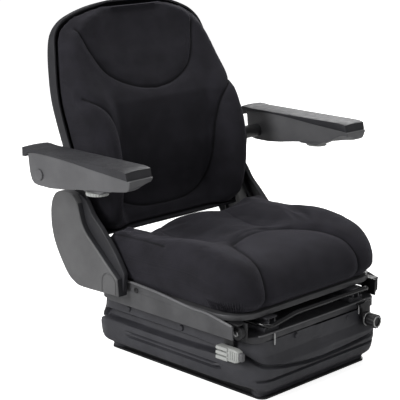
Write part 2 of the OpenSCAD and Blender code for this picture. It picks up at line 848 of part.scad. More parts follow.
// Rear plastic shell of the backrest, a dish open to the front
module backrest_shell() {
  across = [[-1, 1], [-1, 0.35], [-0.97, 0.08], [-0.85, 0], [-0.5, 0], [0, 0],
    [0.5, 0], [0.85, 0], [0.97, 0.08], [1, 0.35], [1, 1]];
  up = [[0, 1], [0.004, 0.4], [0.025, 0.1], [0.08, 0], [0.2, 0], [0.35, 0], [0.5, 0],
    [0.65, 0], [0.78, 0], [0.88, 0], [0.92, 0.02], [0.95, 0.05], [0.975, 0.15], [0.988, 0.35],
    [1, 1]];
  n = len(across);
  m = len(up);
  outer = [for (v = up) for (u = across) shell_point(u, v, 0)];
  inner = [for (v = up) for (u = across) shell_point(u, v, shell_t)];
  face = [for (i = [0 : m - 2]) for (j = [0 : n - 2])
    let (a = i * n + j) each [[a, a + 1, a + n + 1], [a, a + n + 1, a + n]]];
  k = n * m;
  edge = concat(
    [for (j = [0 : n - 2]) [j, j + 1]],
    [for (i = [0 : m - 2]) [i * n + n - 1, (i + 1) * n + n - 1]],
    [for (j = [n - 1 : -1 : 1]) [(m - 1) * n + j, (m - 1) * n + j - 1]],
    [for (i = [m - 1 : -1 : 1]) [i * n, (i - 1) * n]]
  );
  color(grey_plastic)
  polyhedron(concat(outer, inner), concat(
    face,
    [for (f = face) [f[0] + k, f[2] + k, f[1] + k]],
    [for (e = edge) each [[e[1], e[0], e[0] + k], [e[1], e[0] + k, e[1] + k]]]
  ), convexity = 8);
}

// Depth that a point across the front of the backrest stands back
function back_front(x, z, w) =
  blend_at(back_dish, z, 1) * (1 - smooth((abs(x) / w - 0.58) / 0.27));

// Share of the side rounding at a place across the backrest cushion
function edge_round(s) = s == 1 ? 1 : s > 0.95 ? 0.35 : 0;

// Section of the backrest cushion at a height
function back_ring(z, inset) =
  let (w = back_at(z, 3) - 1 - inset,
       b = back_at(z, 2) - shell_t - soft_gap - 2.2 - inset * 0.7,
       lip = back_at(z, 2) - shell_rim - soft_gap - 1.2,
       f = min(back_at(z, 1) + inset, lip - 8),
       in_w = back_at(z, 3) - shell_t - soft_gap - 2.2 - inset,
       half = [-1, -0.97, -0.88, -0.7, -0.5, -0.25, 0, 0.25, 0.5, 0.7, 0.88, 0.97, 1])
  concat(
    [for (s = half)
      [s * w, min(f + back_front(s * w, z, w) + edge_round(abs(s)) * 34,
        abs(s) < 0.75 ? b - 14 : lip - 3), back_z(z)]],
    [[w, lip, back_z(z)], [in_w, lip, back_z(z)], [in_w - 8, b - 6, back_z(z)],
     [in_w * 0.8, b, back_z(z)], [0, b, back_z(z)],
     [-in_w * 0.8, b, back_z(z)], [-in_w + 8, b - 6, back_z(z)], [-in_w, lip, back_z(z)],
     [-w, lip, back_z(z)]]
  );

// Backrest cushion with side bolsters
module backrest_cushion() {
  color(fabric)
  loft([
    for (r = [[266, 14], [274, 6], [290, 0], [310, 0], [330, 0], [380, 0], [440, 0], [480, 0],
              [510, 0], [535, 0], [560, 0], [600, 0], [630, 0], [650, 0], [668, 1], [680, 3],
              [690, 9], [695, 18]])
      back_ring(r[0], r[1])
  ]);
}

// Outline of a side cover in the Y-Z plane, shrunk by a wall
module cover_outline(wall) {
  p = [
    [85, 157], [178, 155], [212, 157], [236, 171], [258, 199], [277, 232], [286, 262],
    [288, 284], [282, 305], [264, 328], [246, 338], [230, 341], [208, 341], [194, 331],
    [159, 285], [124, 243], [85, 201]
  ];
  offset_poly(p, wall);
}

// Polygon with every side moved inwards by a wall
module offset_poly(p, wall) {
  n = len(p);
  polygon([for (i = [0 : n - 1])
    let (a = p[(i + n - 1) % n], b = p[i], c = p[(i + 1) % n],
         u = (b - a) / norm(b - a), v = (c - b) / norm(c - b),
         nu = [-u[1], u[0]], nv = [-v[1], v[0]],
         m = (nu + nv) / norm(nu + nv))
    b + m * wall / (m * nu)]);
}

// Middle of the round top of the arch in a cover, and the arch's width
arch = [111, 181];
arch_w = 40;

// Arch-shaped slot round a tongue in the lower front of a cover
module arch_slot(w, gap, z0) {
  difference() {
    union() {
      translate(arch) circle(w / 2);
      translate([arch[0] - w / 2, z0]) square([w, arch[1] - z0]);
    }
    translate(arch) circle(w / 2 - gap);
    translate([arch[0] - w / 2 + gap, z0 - 1]) square([w - 2 * gap, arch[1] + 1 - z0]);
  }
}

// Hollow plastic cover over the recline joint
module side_cover(side) {
  color(grey_plastic)
  to_side(side)
  difference() {
    along_x(cover_x, cover_w) cover_outline(0);
    along_x(cover_x - 1, cover_w - cover_t + 1) cover_outline(cover_t);
    along_x(cover_x - 1, side_arm_x + arm_plate_t + 2 - cover_x) side_arm_outline(1);
    if (side < 0)
      along_x(cover_x1 - cover_t / 2, cover_t) arch_slot(arch_w, 2.5, 161);
    else
      along_x(cover_x1 - cover_t - 1, cover_t + 3) {
        translate(arch) circle(arch_w / 2 - 2);
        translate([arch[0] - arch_w / 2 + 2, 165]) square([arch_w - 4, arch[1] - 165]);
      }
  }
}

// Outline of a side arm, grown by a clearance
arm_bend = [218, 300];
arm_bolts = [[222, 290], [236, 320]];
module side_arm_outline(grow) {
  link2d([recline_y, recline_z], 24 + grow, arm_bend, 20 + grow);
  link2d(arm_bend, 20 + grow, [armrest_y, armrest_z], 17 + grow);
  link2d(arm_bend, 20 + grow, arm_bolts[1], 12 + grow);
}

// Steel arm from the recline axis up to the armrest axis
module side_arm(side) {
  color(black_steel)
  to_side(side)
  difference() {
    along_x(side_arm_x, arm_plate_t) side_arm_outline(0);
    bar_x(side_arm_x - 1, side_arm_x + arm_plate_t + 1, recline_y, recline_z, shaft_d + 2 * fit);
    bar_x(side_arm_x - 1, side_arm_x + arm_plate_t + 1, armrest_y, armrest_z, 14);
    for (q = arm_bolts)
      bar_x(side_arm_x - 1, side_arm_x + arm_plate_t + 1, q[0], q[1], 8);
  }
}

// Bolts that hold the shell between the side arms
module back_mount_bolts() {
  color(steel)
  for (side = [-1, 1]) to_side(side)
    for (q = arm_bolts) {
      x0 = back_at(q[1] + 8, 3) + 0.3;
      bar_x(x0, side_arm_x, q[0], q[1], 16);
      bar_x(side_arm_x, side_arm_x + arm_plate_t + 1, q[0], q[1], 8);
      hex_head(side_arm_x + arm_plate_t, q[0], q[1], 14, 5);
    }
}

// Pins that carry the armrests
module armrest_pins() {
  color(steel)
  for (side = [-1, 1]) to_side(side) {
    bar_x(side_arm_x - 4, arm_x1 - 6, armrest_y, armrest_z, 14);
    bar_x(side_arm_x + arm_plate_t, arm_x0 - 0.5, armrest_y, armrest_z, 28);
  }
}

// Inner face of the recline lever's plate
lever_plate_x = side_arm_x + arm_plate_t + 5.3;

// Recline lever that comes out through the left cover
module recline_lever() {
  x0 = lever_plate_x;
  color(black_steel) {
    difference() {
      along_x(x0, 5) link2d([recline_y, recline_z], 16, [111, 178], 10);
      bar_x(x0 - 1, x0 + 6, recline_y, recline_z, shaft_d + 2 * fit);
    }
    bar_x(x0 + 4, cover_x1 + 8, 111, 178, 16);
    along_x(cover_x1 + 4, 12) link2d([111, 178], 12, [42, 190], 9);
  }
}

// Sections of the armrest shell: place along Y, underside, top, and half width share
arm_shell_rows = [
  [-50, 412, 428, 0.86], [-44, 408, 430, 0.96], [-20, 404, 432, 1], [7, 400, 433.5, 1],
  [50, 395, 436, 1], [100, 388.5, 440, 1], [139, 382, 442, 1], [176, 378, 443, 1],
  [205, 378, 443, 1], [222, 388, 442, 1], [236, 402, 440, 0.98], [246, 420, 438, 0.94],
  [250, 430, 437, 0.86]
];

function arm_ring(y, z0, z1, w, r, flare) =
  [for (p = [[-w + r, z0], [-w, z0 + r], [-w - flare, z1 - r * 0.6], [-w - flare + r * 0.6, z1],
             [w + flare - r * 0.6, z1], [w + flare, z1 - r * 0.6], [w, z0 + r], [w - r, z0]])
    [p[0], y, p[1]]];

// Armrest shell with its axis bore and the boss of the wheel
module armrest_shell(side) {
  w = armrest_w / 2;
  color(grey_plastic)
  to_side(side)
  difference() {
    union() {
      translate([arm_x1 - w, 0, 0])
        loft([for (r = arm_shell_rows)
          arm_ring(r[0], r[1], r[2], w * r[3] - 3, 5, 0)]);
      along_x(arm_x1 - armrest_w + 6, armrest_w - 22)
        polygon([[14, 402], [38, 376], [88, 375], [101, 391], [101, 402]]);
    }
    bar_x(arm_x0 - 1, arm_x1 - 5, armrest_y, armrest_z, 14 + 2 * fit);
    wheel_slot();
  }
}

// Place of the adjusting wheel
wheel_x = arm_x1 - wheel_d / 2 - 1;
wheel_y = 62;
wheel_z = 379;
wheel_h = 8;

// Slot in the boss that the wheel turns in
module wheel_slot() {
  translate([wheel_x, wheel_y, wheel_z - 1]) cylinder(d = wheel_d + 4, h = wheel_h + 2);
  translate([wheel_x, wheel_y, wheel_z - 5]) cylinder(d = 6, h = wheel_h + 10);
}

// Thumbwheel that sets the tilt of an armrest
module tilt_wheel(side) {
  teeth = 24;
  color(light_plastic)
  to_side(side)
  translate([wheel_x, wheel_y, wheel_z]) {
    difference() {
      cylinder(d = wheel_d, h = wheel_h);
      for (i = [0 : teeth - 1]) rotate(i * 360 / teeth)
        translate([wheel_d / 2 + 0.6, 0, -1]) cylinder(d = 3, h = wheel_h + 2, $fn = 16);
    }
    translate([0, 0, -4]) cylinder(d = 6 - 2 * fit, h = wheel_h + 8);
  }
}

// Soft top pad of an armrest
module armrest_pad(side) {
  w = armrest_w / 2;
  color(rubber)
  to_side(side)
  translate([arm_x1 - w, 0, 0])
  loft([for (r = arm_shell_rows)
    let (in = r[3] < 0.9 ? 1 : 0)
    arm_ring(r[0] + (r[0] < 0 ? -4 : r[0] > 240 ? 2 : 0), r[2] + soft_gap,
      max(449 - 4 * in - (r[0] < -40 ? 3 : 0), r[2] + 4), w * r[3], 2.4, 0)]);
}

base_plate();
base_channel(-1);  // base_channel_right
base_channel(1);  // base_channel_left
base_pivot_shaft();
bump_stops();
damper_lower_bracket();
bellows();
upper_plate();
upper_channel(-1);  // upper_channel_right
upper_channel(1);  // upper_channel_left
upper_pivot_shaft();
damper_upper_bracket();
slide_lower_rail(-1);  // slide_lower_rail_right
slide_lower_rail(1);  // slide_lower_rail_left
adjuster_bracket();
lever_bracket();
coil_spring(-1);  // coil_spring_right
coil_spring(1);  // coil_spring_left
outer_arm(-1);  // outer_arm_right
outer_arm(1);  // outer_arm_left
outer_cross_tube();
outer_rollers();
inner_arm(-1);  // inner_arm_right
inner_arm(1);  // inner_arm_left
inner_cross_tube();
inner_rollers();
centre_pivot_pins();
damper_tube();
damper_rod();
preload_knob();
height_lever();
slide_upper_rail(-1);  // slide_upper_rail_right
slide_upper_rail(1);  // slide_upper_rail_left
seat_pan();
pan_side_plate(-1);  // pan_side_plate_right
pan_side_plate(1);  // pan_side_plate_left
front_hub(-1);  // front_hub_right
front_hub(1);  // front_hub_left
recline_bolts();
seat_cushion();
slide_release_bar();
backrest_shell();
backrest_cushion();
side_cover(-1);  // side_cover_right
side_cover(1);  // side_cover_left
side_arm(-1);  // side_arm_right
side_arm(1);  // side_arm_left
back_mount_bolts();
armrest_pins();
recline_lever();
armrest_shell(-1);  // armrest_shell_right
armrest_pad(-1);  // armrest_pad_right
tilt_wheel(-1);  // tilt_wheel_right
armrest_shell(1);  // armrest_shell_left
armrest_pad(1);  // armrest_pad_left
tilt_wheel(1);  // tilt_wheel_left
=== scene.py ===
"""Looks of a tractor suspension seat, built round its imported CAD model."""
import json
import math

import bmesh
import bpy
import numpy as np
from mathutils import Matrix, Vector
from mathutils.kdtree import KDTree


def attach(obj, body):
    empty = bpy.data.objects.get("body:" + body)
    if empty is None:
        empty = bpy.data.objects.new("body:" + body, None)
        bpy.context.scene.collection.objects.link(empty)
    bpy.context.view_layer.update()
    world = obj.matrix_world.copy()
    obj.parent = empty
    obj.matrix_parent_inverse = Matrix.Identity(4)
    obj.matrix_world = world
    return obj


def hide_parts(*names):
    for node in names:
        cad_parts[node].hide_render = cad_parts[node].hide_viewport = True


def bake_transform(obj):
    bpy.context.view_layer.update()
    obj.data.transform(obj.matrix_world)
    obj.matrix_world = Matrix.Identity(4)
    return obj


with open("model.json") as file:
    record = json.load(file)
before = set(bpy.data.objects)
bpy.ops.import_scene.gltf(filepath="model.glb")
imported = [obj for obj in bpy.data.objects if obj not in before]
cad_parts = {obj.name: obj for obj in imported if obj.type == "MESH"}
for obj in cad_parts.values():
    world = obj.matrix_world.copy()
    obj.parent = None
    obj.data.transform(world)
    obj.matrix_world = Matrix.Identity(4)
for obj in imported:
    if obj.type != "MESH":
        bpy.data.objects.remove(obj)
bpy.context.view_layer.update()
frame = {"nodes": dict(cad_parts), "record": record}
MM = 0.001


# Hand tools ---------------------------------------------------------------

def only(obj):
    """Selects one object alone and makes it active."""
    if bpy.context.object and bpy.context.object.mode != "OBJECT":
        bpy.ops.object.mode_set(mode="OBJECT")
    bpy.ops.object.select_all(action="DESELECT")
    obj.select_set(True)
    bpy.context.view_layer.objects.active = obj


def clear():
    """Deselects everything before a primitive is added."""
    if bpy.context.object and bpy.context.object.mode != "OBJECT":
        bpy.ops.object.mode_set(mode="OBJECT")
    bpy.ops.object.select_all(action="DESELECT")


def named(name):
    """Names the new primitive and puts its place into its mesh."""
    obj = bpy.context.object
    obj.name = name
    obj.data.name = name
    bpy.ops.object.transform_apply(location=True, rotation=True, scale=True)
    return obj


def box(name, low, high):
    """Cube primitive between two corners in millimetres."""
    clear()
    centre = [(a + b) / 2 * MM for a, b in zip(low, high)]
    size = [(b - a) * MM for a, b in zip(low, high)]
    bpy.ops.mesh.primitive_cube_add(size=1, location=centre, scale=size)
    return named(name)


def bar(name, start, end, radius, sides=32, taper=1.0):
    """Cylinder or cone primitive between two points in millimetres."""
    clear()
    a, b = Vector(start) * MM, Vector(end) * MM
    turn = (b - a).to_track_quat("Z", "Y").to_euler()
    bpy.ops.mesh.primitive_cone_add(
        vertices=sides, radius1=radius * MM, radius2=radius * taper * MM,
        depth=(b - a).length, location=(a + b) / 2, rotation=turn)
    return named(name)


def modify(obj, kind, **settings):
    """Adds a modifier with its settings and applies it."""
    only(obj)
    modifier = obj.modifiers.new(kind.lower(), kind)
    for key, value in settings.items():
        setattr(modifier, key, value)
    bpy.ops.object.modifier_apply(modifier=modifier.name)
    return obj


def bevel(obj, width, segments=2, angle=35):
    """Rounds the sharp edges of a piece."""
    return modify(obj, "BEVEL", width=width * MM, segments=segments, limit_method="ANGLE",
                  angle_limit=math.radians(angle), harden_normals=False)


def smooth(obj, angle=35):
    """Smooth shading, with sharp edges kept above an angle."""
    only(obj)
    bpy.ops.object.shade_smooth_by_angle(angle=math.radians(angle))
    return obj


def cut(obj, axis, places):
    """Cuts the whole mesh across an axis at places in millimetres."""
    only(obj)
    normal = [0, 0, 0]
    normal[axis] = 1
    bpy.ops.object.mode_set(mode="EDIT")
    for place in places:
        bpy.ops.mesh.select_all(action="SELECT")
        point = [0, 0, 0]
        point[axis] = place * MM
        bpy.ops.mesh.bisect(plane_co=point, plane_no=normal)
    bpy.ops.object.mode_set(mode="OBJECT")
    return obj


def pick(obj, test):
    """In edit mode, selects the faces whose centre (mm) and normal pass a test."""
    bpy.ops.mesh.select_mode(type="FACE")
    bpy.ops.mesh.select_all(action="DESELECT")
    mesh = bmesh.from_edit_mesh(obj.data)
    for face in mesh.faces:
        face.select_set(bool(test(face.calc_center_median() / MM, face.normal)))
    mesh.select_flush_mode()
    bmesh.update_edit_mesh(obj.data)


def faces(obj, test):
    """Enters edit mode with the chosen faces selected."""
    only(obj)
    bpy.ops.object.mode_set(mode="EDIT")
    pick(obj, test)


def push(x=0, y=0, z=0):
    """Extrudes the selected faces by millimetres."""
    bpy.ops.mesh.extrude_region_move(
        TRANSFORM_OT_translate={"value": (x * MM, y * MM, z * MM)})


def inset(width, depth=0):
    """Insets the selected faces, and sinks them by a depth."""
    bpy.ops.mesh.inset(thickness=width * MM, depth=-depth * MM)


def done():
    bpy.ops.object.mode_set(mode="OBJECT")


def shape(obj, move):
    """Moves each point, in millimetres, as a hand would push it."""
    mesh = obj.data
    for vertex in mesh.vertices:
        vertex.co = Vector(move(*(vertex.co / MM))) * MM
    mesh.update()
    return obj


def outward(obj):
    """Merges doubles and turns all faces outwards."""
    only(obj)
    bpy.ops.object.mode_set(mode="EDIT")
    bpy.ops.mesh.select_all(action="SELECT")
    bpy.ops.mesh.remove_doubles(threshold=0.00002)
    bpy.ops.mesh.normals_make_consistent(inside=False)
    bpy.ops.object.mode_set(mode="OBJECT")
    return obj


def curve_points(points, count, closed=False):
    """Points of a smooth curve through the given ones."""
    p = np.array(points, float)
    n = len(p)
    out = []
    spans = n if closed else n - 1
    for i in range(spans):
        if closed:
            a, b, c, d = p[(i - 1) % n], p[i], p[(i + 1) % n], p[(i + 2) % n]
        else:
            a, b, c, d = p[max(i - 1, 0)], p[i], p[i + 1], p[min(i + 2, n - 1)]
        for k in range(count):
            t = k / count
            out.append(0.5 * (2 * b + (c - a) * t + (2 * a - 5 * b + 4 * c - d) * t * t
                              + (3 * b - a - 3 * c + d) * t ** 3))
    if not closed:
        out.append(p[-1])
    return np.array(out)


def plate(name, outline, x0, x1, edge=1.5, steps=3, holes=()):
    """Flat piece with rounded edges, cut to an outline in the Y-Z plane between x0 and x1."""
    clear()
    curve = bpy.data.curves.new(name, "CURVE")
    curve.dimensions = "2D"
    curve.fill_mode = "BOTH"
    for ring in (outline, *holes):
        spline = curve.splines.new("POLY")
        spline.points.add(len(ring) - 1)
        for point, (y, z) in zip(spline.points, ring):
            point.co = (y * MM, z * MM, 0, 1)
        spline.use_cyclic_u = True
    curve.extrude = ((x1 - x0) / 2 - edge) * MM
    curve.bevel_depth = edge * MM
    curve.offset = -edge * MM
    curve.bevel_resolution = steps
    obj = bpy.data.objects.new(name, curve)
    bpy.context.scene.collection.objects.link(obj)
    turn = Matrix(((0, 0, 1, (x0 + x1) / 2 * MM), (1, 0, 0, 0), (0, 1, 0, 0), (0, 0, 0, 1)))
    obj.matrix_world = turn
    only(obj)
    bpy.ops.object.convert(target="MESH")
    piece = named(name)
    return outward(piece)


def wire(name, points, radius, sides=12, closed=False):
    """Round wire, tube or welt along points in millimetres."""
    clear()
    curve = bpy.data.curves.new(name, "CURVE")
    curve.dimensions = "3D"
    spline = curve.splines.new("POLY")
    spline.points.add(len(points) - 1)
    for point, place in zip(spline.points, points):
        point.co = (*[c * MM for c in place], 1)
    spline.use_cyclic_u = closed
    curve.bevel_depth = radius * MM
    curve.bevel_resolution = max(sides // 4 - 1, 1)
    curve.use_fill_caps = True
    obj = bpy.data.objects.new(name, curve)
    bpy.context.scene.collection.objects.link(obj)
    only(obj)
    bpy.ops.object.convert(target="MESH")
    return smooth(outward(named(name)), 50)


def join(name, *pieces):
    """Joins pieces into the first one."""
    clear()
    for piece in pieces:
        piece.select_set(True)
    bpy.context.view_layer.objects.active = pieces[0]
    bpy.ops.object.join()
    obj = bpy.context.object
    obj.name = name
    return obj


def subtract(obj, *tools):
    """Cuts the tools out of a piece."""
    for tool in tools:
        modify(obj, "BOOLEAN", operation="DIFFERENCE", object=tool, solver="EXACT")
        bpy.data.objects.remove(tool)
    return obj


def mirrored(obj, name):
    """Copy of a piece on the other side of the seat, with its own mesh."""
    copy = obj.copy()
    copy.data = obj.data.copy()
    copy.name = name
    bpy.context.scene.collection.objects.link(copy)
    copy.data.transform(Matrix.Scale(-1, 4, (1, 0, 0)))
    copy.data.flip_normals()
    return copy


def moved(obj, name, x=0, y=0, z=0):
    """Copy of a piece moved by millimetres, with its own mesh."""
    copy = obj.copy()
    copy.data = obj.data.copy()
    copy.name = name
    bpy.context.scene.collection.objects.link(copy)
    copy.data.transform(Matrix.Translation((x * MM, y * MM, z * MM)))
    return copy


def step(t):
    """Smooth step from 0 to 1, for numbers and arrays."""
    t = np.clip(t, 0, 1)
    return t * t * (3 - 2 * t)


def table(rows, at, column):
    """Value of a column of a table at a place of its first column."""
    rows = np.array(rows, float)
    return np.interp(at, rows[:, 0], rows[:, column])


# Materials ----------------------------------------------------------------

def linear(hex_colour):
    """sRGB hex colour as linear red, green, blue and alpha."""
    values = [int(hex_colour[i:i + 2], 16) / 255 for i in (1, 3, 5)]
    return (*[v / 12.92 if v <= 0.04045 else ((v + 0.055) / 1.055) ** 2.4 for v in values], 1)


def add(tree, kind, inputs=(), **settings):
    """Adds a node with its settings and inputs; an input that is a socket is linked."""
    node = tree.nodes.new("ShaderNode" + kind)
    for key, value in settings.items():
        setattr(node, key, value)
    for key, value in dict(inputs).items():
        if isinstance(value, bpy.types.NodeSocket):
            tree.links.new(value, node.inputs[key])
        else:
            node.inputs[key].default_value = value
    return node


def material(name, roughness, metallic=0.0, ior=1.5, **fixed):
    """New material with its surface shader; fixed values go on the shader's own sockets."""
    made = bpy.data.materials.new(name)
    made.use_nodes = True
    tree = made.node_tree
    surface = tree.nodes["Principled BSDF"]
    surface.inputs["Roughness"].default_value = roughness
    surface.inputs["Metallic"].default_value = metallic
    if not metallic:
        surface.inputs["IOR"].default_value = ior
    for key, value in fixed.items():
        surface.inputs[key.replace("_", " ").title()].default_value = value
    place = add(tree, "TexCoord").outputs["Object"]
    return made, tree, surface, place


def spread(tree, place, scale, low, high, detail=3.0, start=0.35, end=0.65):
    """Noise at a scale (per metre) as a mix between two values or two colours."""
    noise = add(tree, "TexNoise", {"Vector": place, "Scale": scale, "Detail": detail})
    if isinstance(low, str):
        ramp = add(tree, "ValToRGB", {"Fac": noise.outputs["Fac"]})
        ramp.color_ramp.elements[0].position = start
        ramp.color_ramp.elements[1].position = end
        ramp.color_ramp.elements[0].color = linear(low)
        ramp.color_ramp.elements[1].color = linear(high)
        return ramp.outputs["Color"]
    ranged = add(tree, "MapRange", {"Value": noise.outputs["Fac"], "From Min": start,
                                    "From Max": end, "To Min": low, "To Max": high})
    return ranged.outputs["Result"]


def grain(tree, surface, place, scale, depth, kind="noise", below=None):
    """Bump of a moulded or coated surface: grain of 1/scale metres and a depth in metres."""
    if kind == "cells":
        texture = add(tree, "TexVoronoi", {"Vector": place, "Scale": scale},
                      feature="SMOOTH_F1")
        height = texture.outputs["Distance"]
    else:
        texture = add(tree, "TexNoise", {"Vector": place, "Scale": scale, "Detail": 4.0})
        height = texture.outputs["Fac"]
    links = {"Height": height, "Strength": 1.0, "Distance": depth}
    if below is not None:
        links["Normal"] = below
    bump = add(tree, "Bump", links)
    tree.links.new(bump.outputs["Normal"], surface.inputs["Normal"])
    return bump.outputs["Normal"]


def upholstery():
    """Woven polyester seat cloth: matt, nearly black, with a soft sheen along its curves."""
    made, tree, surface, place = material(
        "woven_polyester_cloth", 0.92, sheen_weight=0.22, sheen_roughness=0.4)
    surface.inputs["Sheen Tint"].default_value = linear("#b9b6c4")
    surface.inputs["Specular IOR Level"].default_value = 0.25
    # Threads of 1.6 mm run across and along the cloth; real ones are finer
    split = add(tree, "SeparateXYZ", {"Vector": place})
    across = add(tree, "Math", {0: split.outputs["X"], 1: 2 * math.pi / 0.0016},
                 operation="MULTIPLY")
    rise = add(tree, "Math", {0: split.outputs["Y"], 1: split.outputs["Z"]}, operation="ADD")
    along = add(tree, "Math", {0: rise.outputs[0], 1: 2 * math.pi / 0.0016},
                operation="MULTIPLY")
    warp = add(tree, "Math", {0: across.outputs[0]}, operation="SINE")
    weft = add(tree, "Math", {0: along.outputs[0]}, operation="SINE")
    weave = add(tree, "Math", {0: warp.outputs[0], 1: weft.outputs[0]}, operation="MULTIPLY")
    fuzz = add(tree, "TexNoise", {"Vector": place, "Scale": 900.0, "Detail": 2.0})
    both = add(tree, "Math", {0: weave.outputs[0], 1: fuzz.outputs["Fac"]}, operation="ADD")
    bump = add(tree, "Bump", {"Height": both.outputs[0], "Strength": 0.5, "Distance": 0.0004})
    tree.links.new(bump.outputs["Normal"], surface.inputs["Normal"])
    # The mark along the seams darkens the cloth where it is drawn in: painted shade in the furrows
    cloth = spread(tree, place, 26.0, "#1f1e23", "#27262c")
    seam_shade = add(tree, "Attribute", attribute_name="seam_shade")
    dark = mix_colour(tree, seam_shade.outputs["Fac"], cloth, linear("#070708"))
    tree.links.new(dark, surface.inputs["Base Color"])
    return made


def mix_colour(tree, factor, first, second):
    """Mix of two colours."""
    node = tree.nodes.new("ShaderNodeMix")
    node.data_type = "RGBA"
    for socket, value in ((node.inputs[0], factor), (node.inputs[6], first),
                          (node.inputs[7], second)):
        if isinstance(value, bpy.types.NodeSocket):
            tree.links.new(value, socket)
        else:
            socket.default_value = value
    return node.outputs[2]


def moulded_plastic(name, dark, light, scale, depth, roughness, level=0.5):
    """Injection moulded plastic with an eroded grain that takes the shine off."""
    made, tree, surface, place = material(name, roughness)
    surface.inputs["Specular IOR Level"].default_value = level
    tree.links.new(spread(tree, place, 14.0, dark, light), surface.inputs["Base Color"])
    tree.links.new(spread(tree, place, 60.0, roughness - 0.06, roughness + 0.06),
                   surface.inputs["Roughness"])
    grain(tree, surface, place, scale, depth, "cells")
    return made


def coated_steel(name, dark, light, roughness):
    """Powder coated steel: a slight orange peel of 2 mm and a satin shine."""
    made, tree, surface, place = material(name, roughness)
    tree.links.new(spread(tree, place, 20.0, dark, light), surface.inputs["Base Color"])
    tree.links.new(spread(tree, place, 45.0, roughness - 0.08, roughness + 0.08),
                   surface.inputs["Roughness"])
    grain(tree, surface, place, 500.0, 0.00012)
    return made


def bare_metal(name, dark, light, roughness):
    """Zinc plated steel: grey and bright, with a fine brushed unevenness."""
    made, tree, surface, place = material(name, roughness, metallic=1.0)
    tree.links.new(spread(tree, place, 90.0, dark, light), surface.inputs["Base Color"])
    tree.links.new(spread(tree, place, 120.0, roughness - 0.08, roughness + 0.1),
                   surface.inputs["Roughness"])
    grain(tree, surface, place, 1500.0, 0.00003)
    return made


cloth_finish = upholstery()
# EPDM rubber bellows, moulded, with a dull bloom
rubber_finish = moulded_plastic("moulded_epdm_rubber", "#333338", "#3d3d42", 700.0, 0.0001, 0.55)
# ABS covers and shell, moulded with a coarse leather grain
cover_finish = moulded_plastic("moulded_abs_leather_grain", "#565657", "#606061", 850.0, 0.0002, 0.5)
# Nearly black material for painted shade: the strip behind each side cover, and the cover's front wall
# and inside
painted_shade_finish = moulded_plastic("painted_shade_black", "#1f1f23", "#2a2a2e", 900.0, 0.0002, 0.55)
shell_finish = moulded_plastic("moulded_abs_shell", "#232327", "#28282c", 850.0, 0.0002, 0.5)
# Polyurethane integral skin foam of the armrest pads
pad_finish = moulded_plastic("integral_skin_foam", "#28282c", "#313135", 600.0, 0.0003, 0.5)
side_finish = moulded_plastic("moulded_polypropylene", "#5a5a5c", "#646466", 900.0, 0.0002, 0.45)
# Light grey nylon of the handle and the adjusting wheels
handle_finish = moulded_plastic("moulded_light_nylon", "#a2a4a2", "#b4b6b3", 1100.0, 0.0001, 0.45)
frame_finish = coated_steel("powder_coated_steel", "#18181a", "#222224", 0.42)
# The upper tray and the rails are satin dark grey; their rolled edges are paler grey, a painted
# highlight
highlight_edge_finish = coated_steel("painted_highlight_edge", "#626264", "#727274", 0.38)
tray_finish = coated_steel("satin_coated_tray", "#2e2e31", "#38383b", 0.42)
rail_finish = coated_steel("satin_coated_rail", "#3a3a3e", "#46464a", 0.4)
pan_finish = coated_steel("satin_powder_coated_pan", "#444446", "#505052", 0.42)
gloss_finish = coated_steel("gloss_painted_bar", "#0e0e10", "#161618", 0.2)
black_finish = moulded_plastic("moulded_black_nylon", "#161618", "#202022", 1100.0, 0.0001, 0.45)
zinc_finish = bare_metal("zinc_plated_steel", "#a8a9aa", "#c6c6c4", 0.32)
spring_finish = coated_steel("phosphated_spring_steel", "#2c2d2f", "#3a3b3d", 0.5)


def dress(obj, finish, body=None, replaces=()):
    """Gives a piece its material, its body, and the CAD nodes it stands for."""
    obj.data.materials.clear()
    obj.data.materials.append(finish)
    if body:
        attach(obj, body)
    if replaces:
        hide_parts(*replaces)
    return obj


# Camera, lamps and floor ---------------------------------------------------

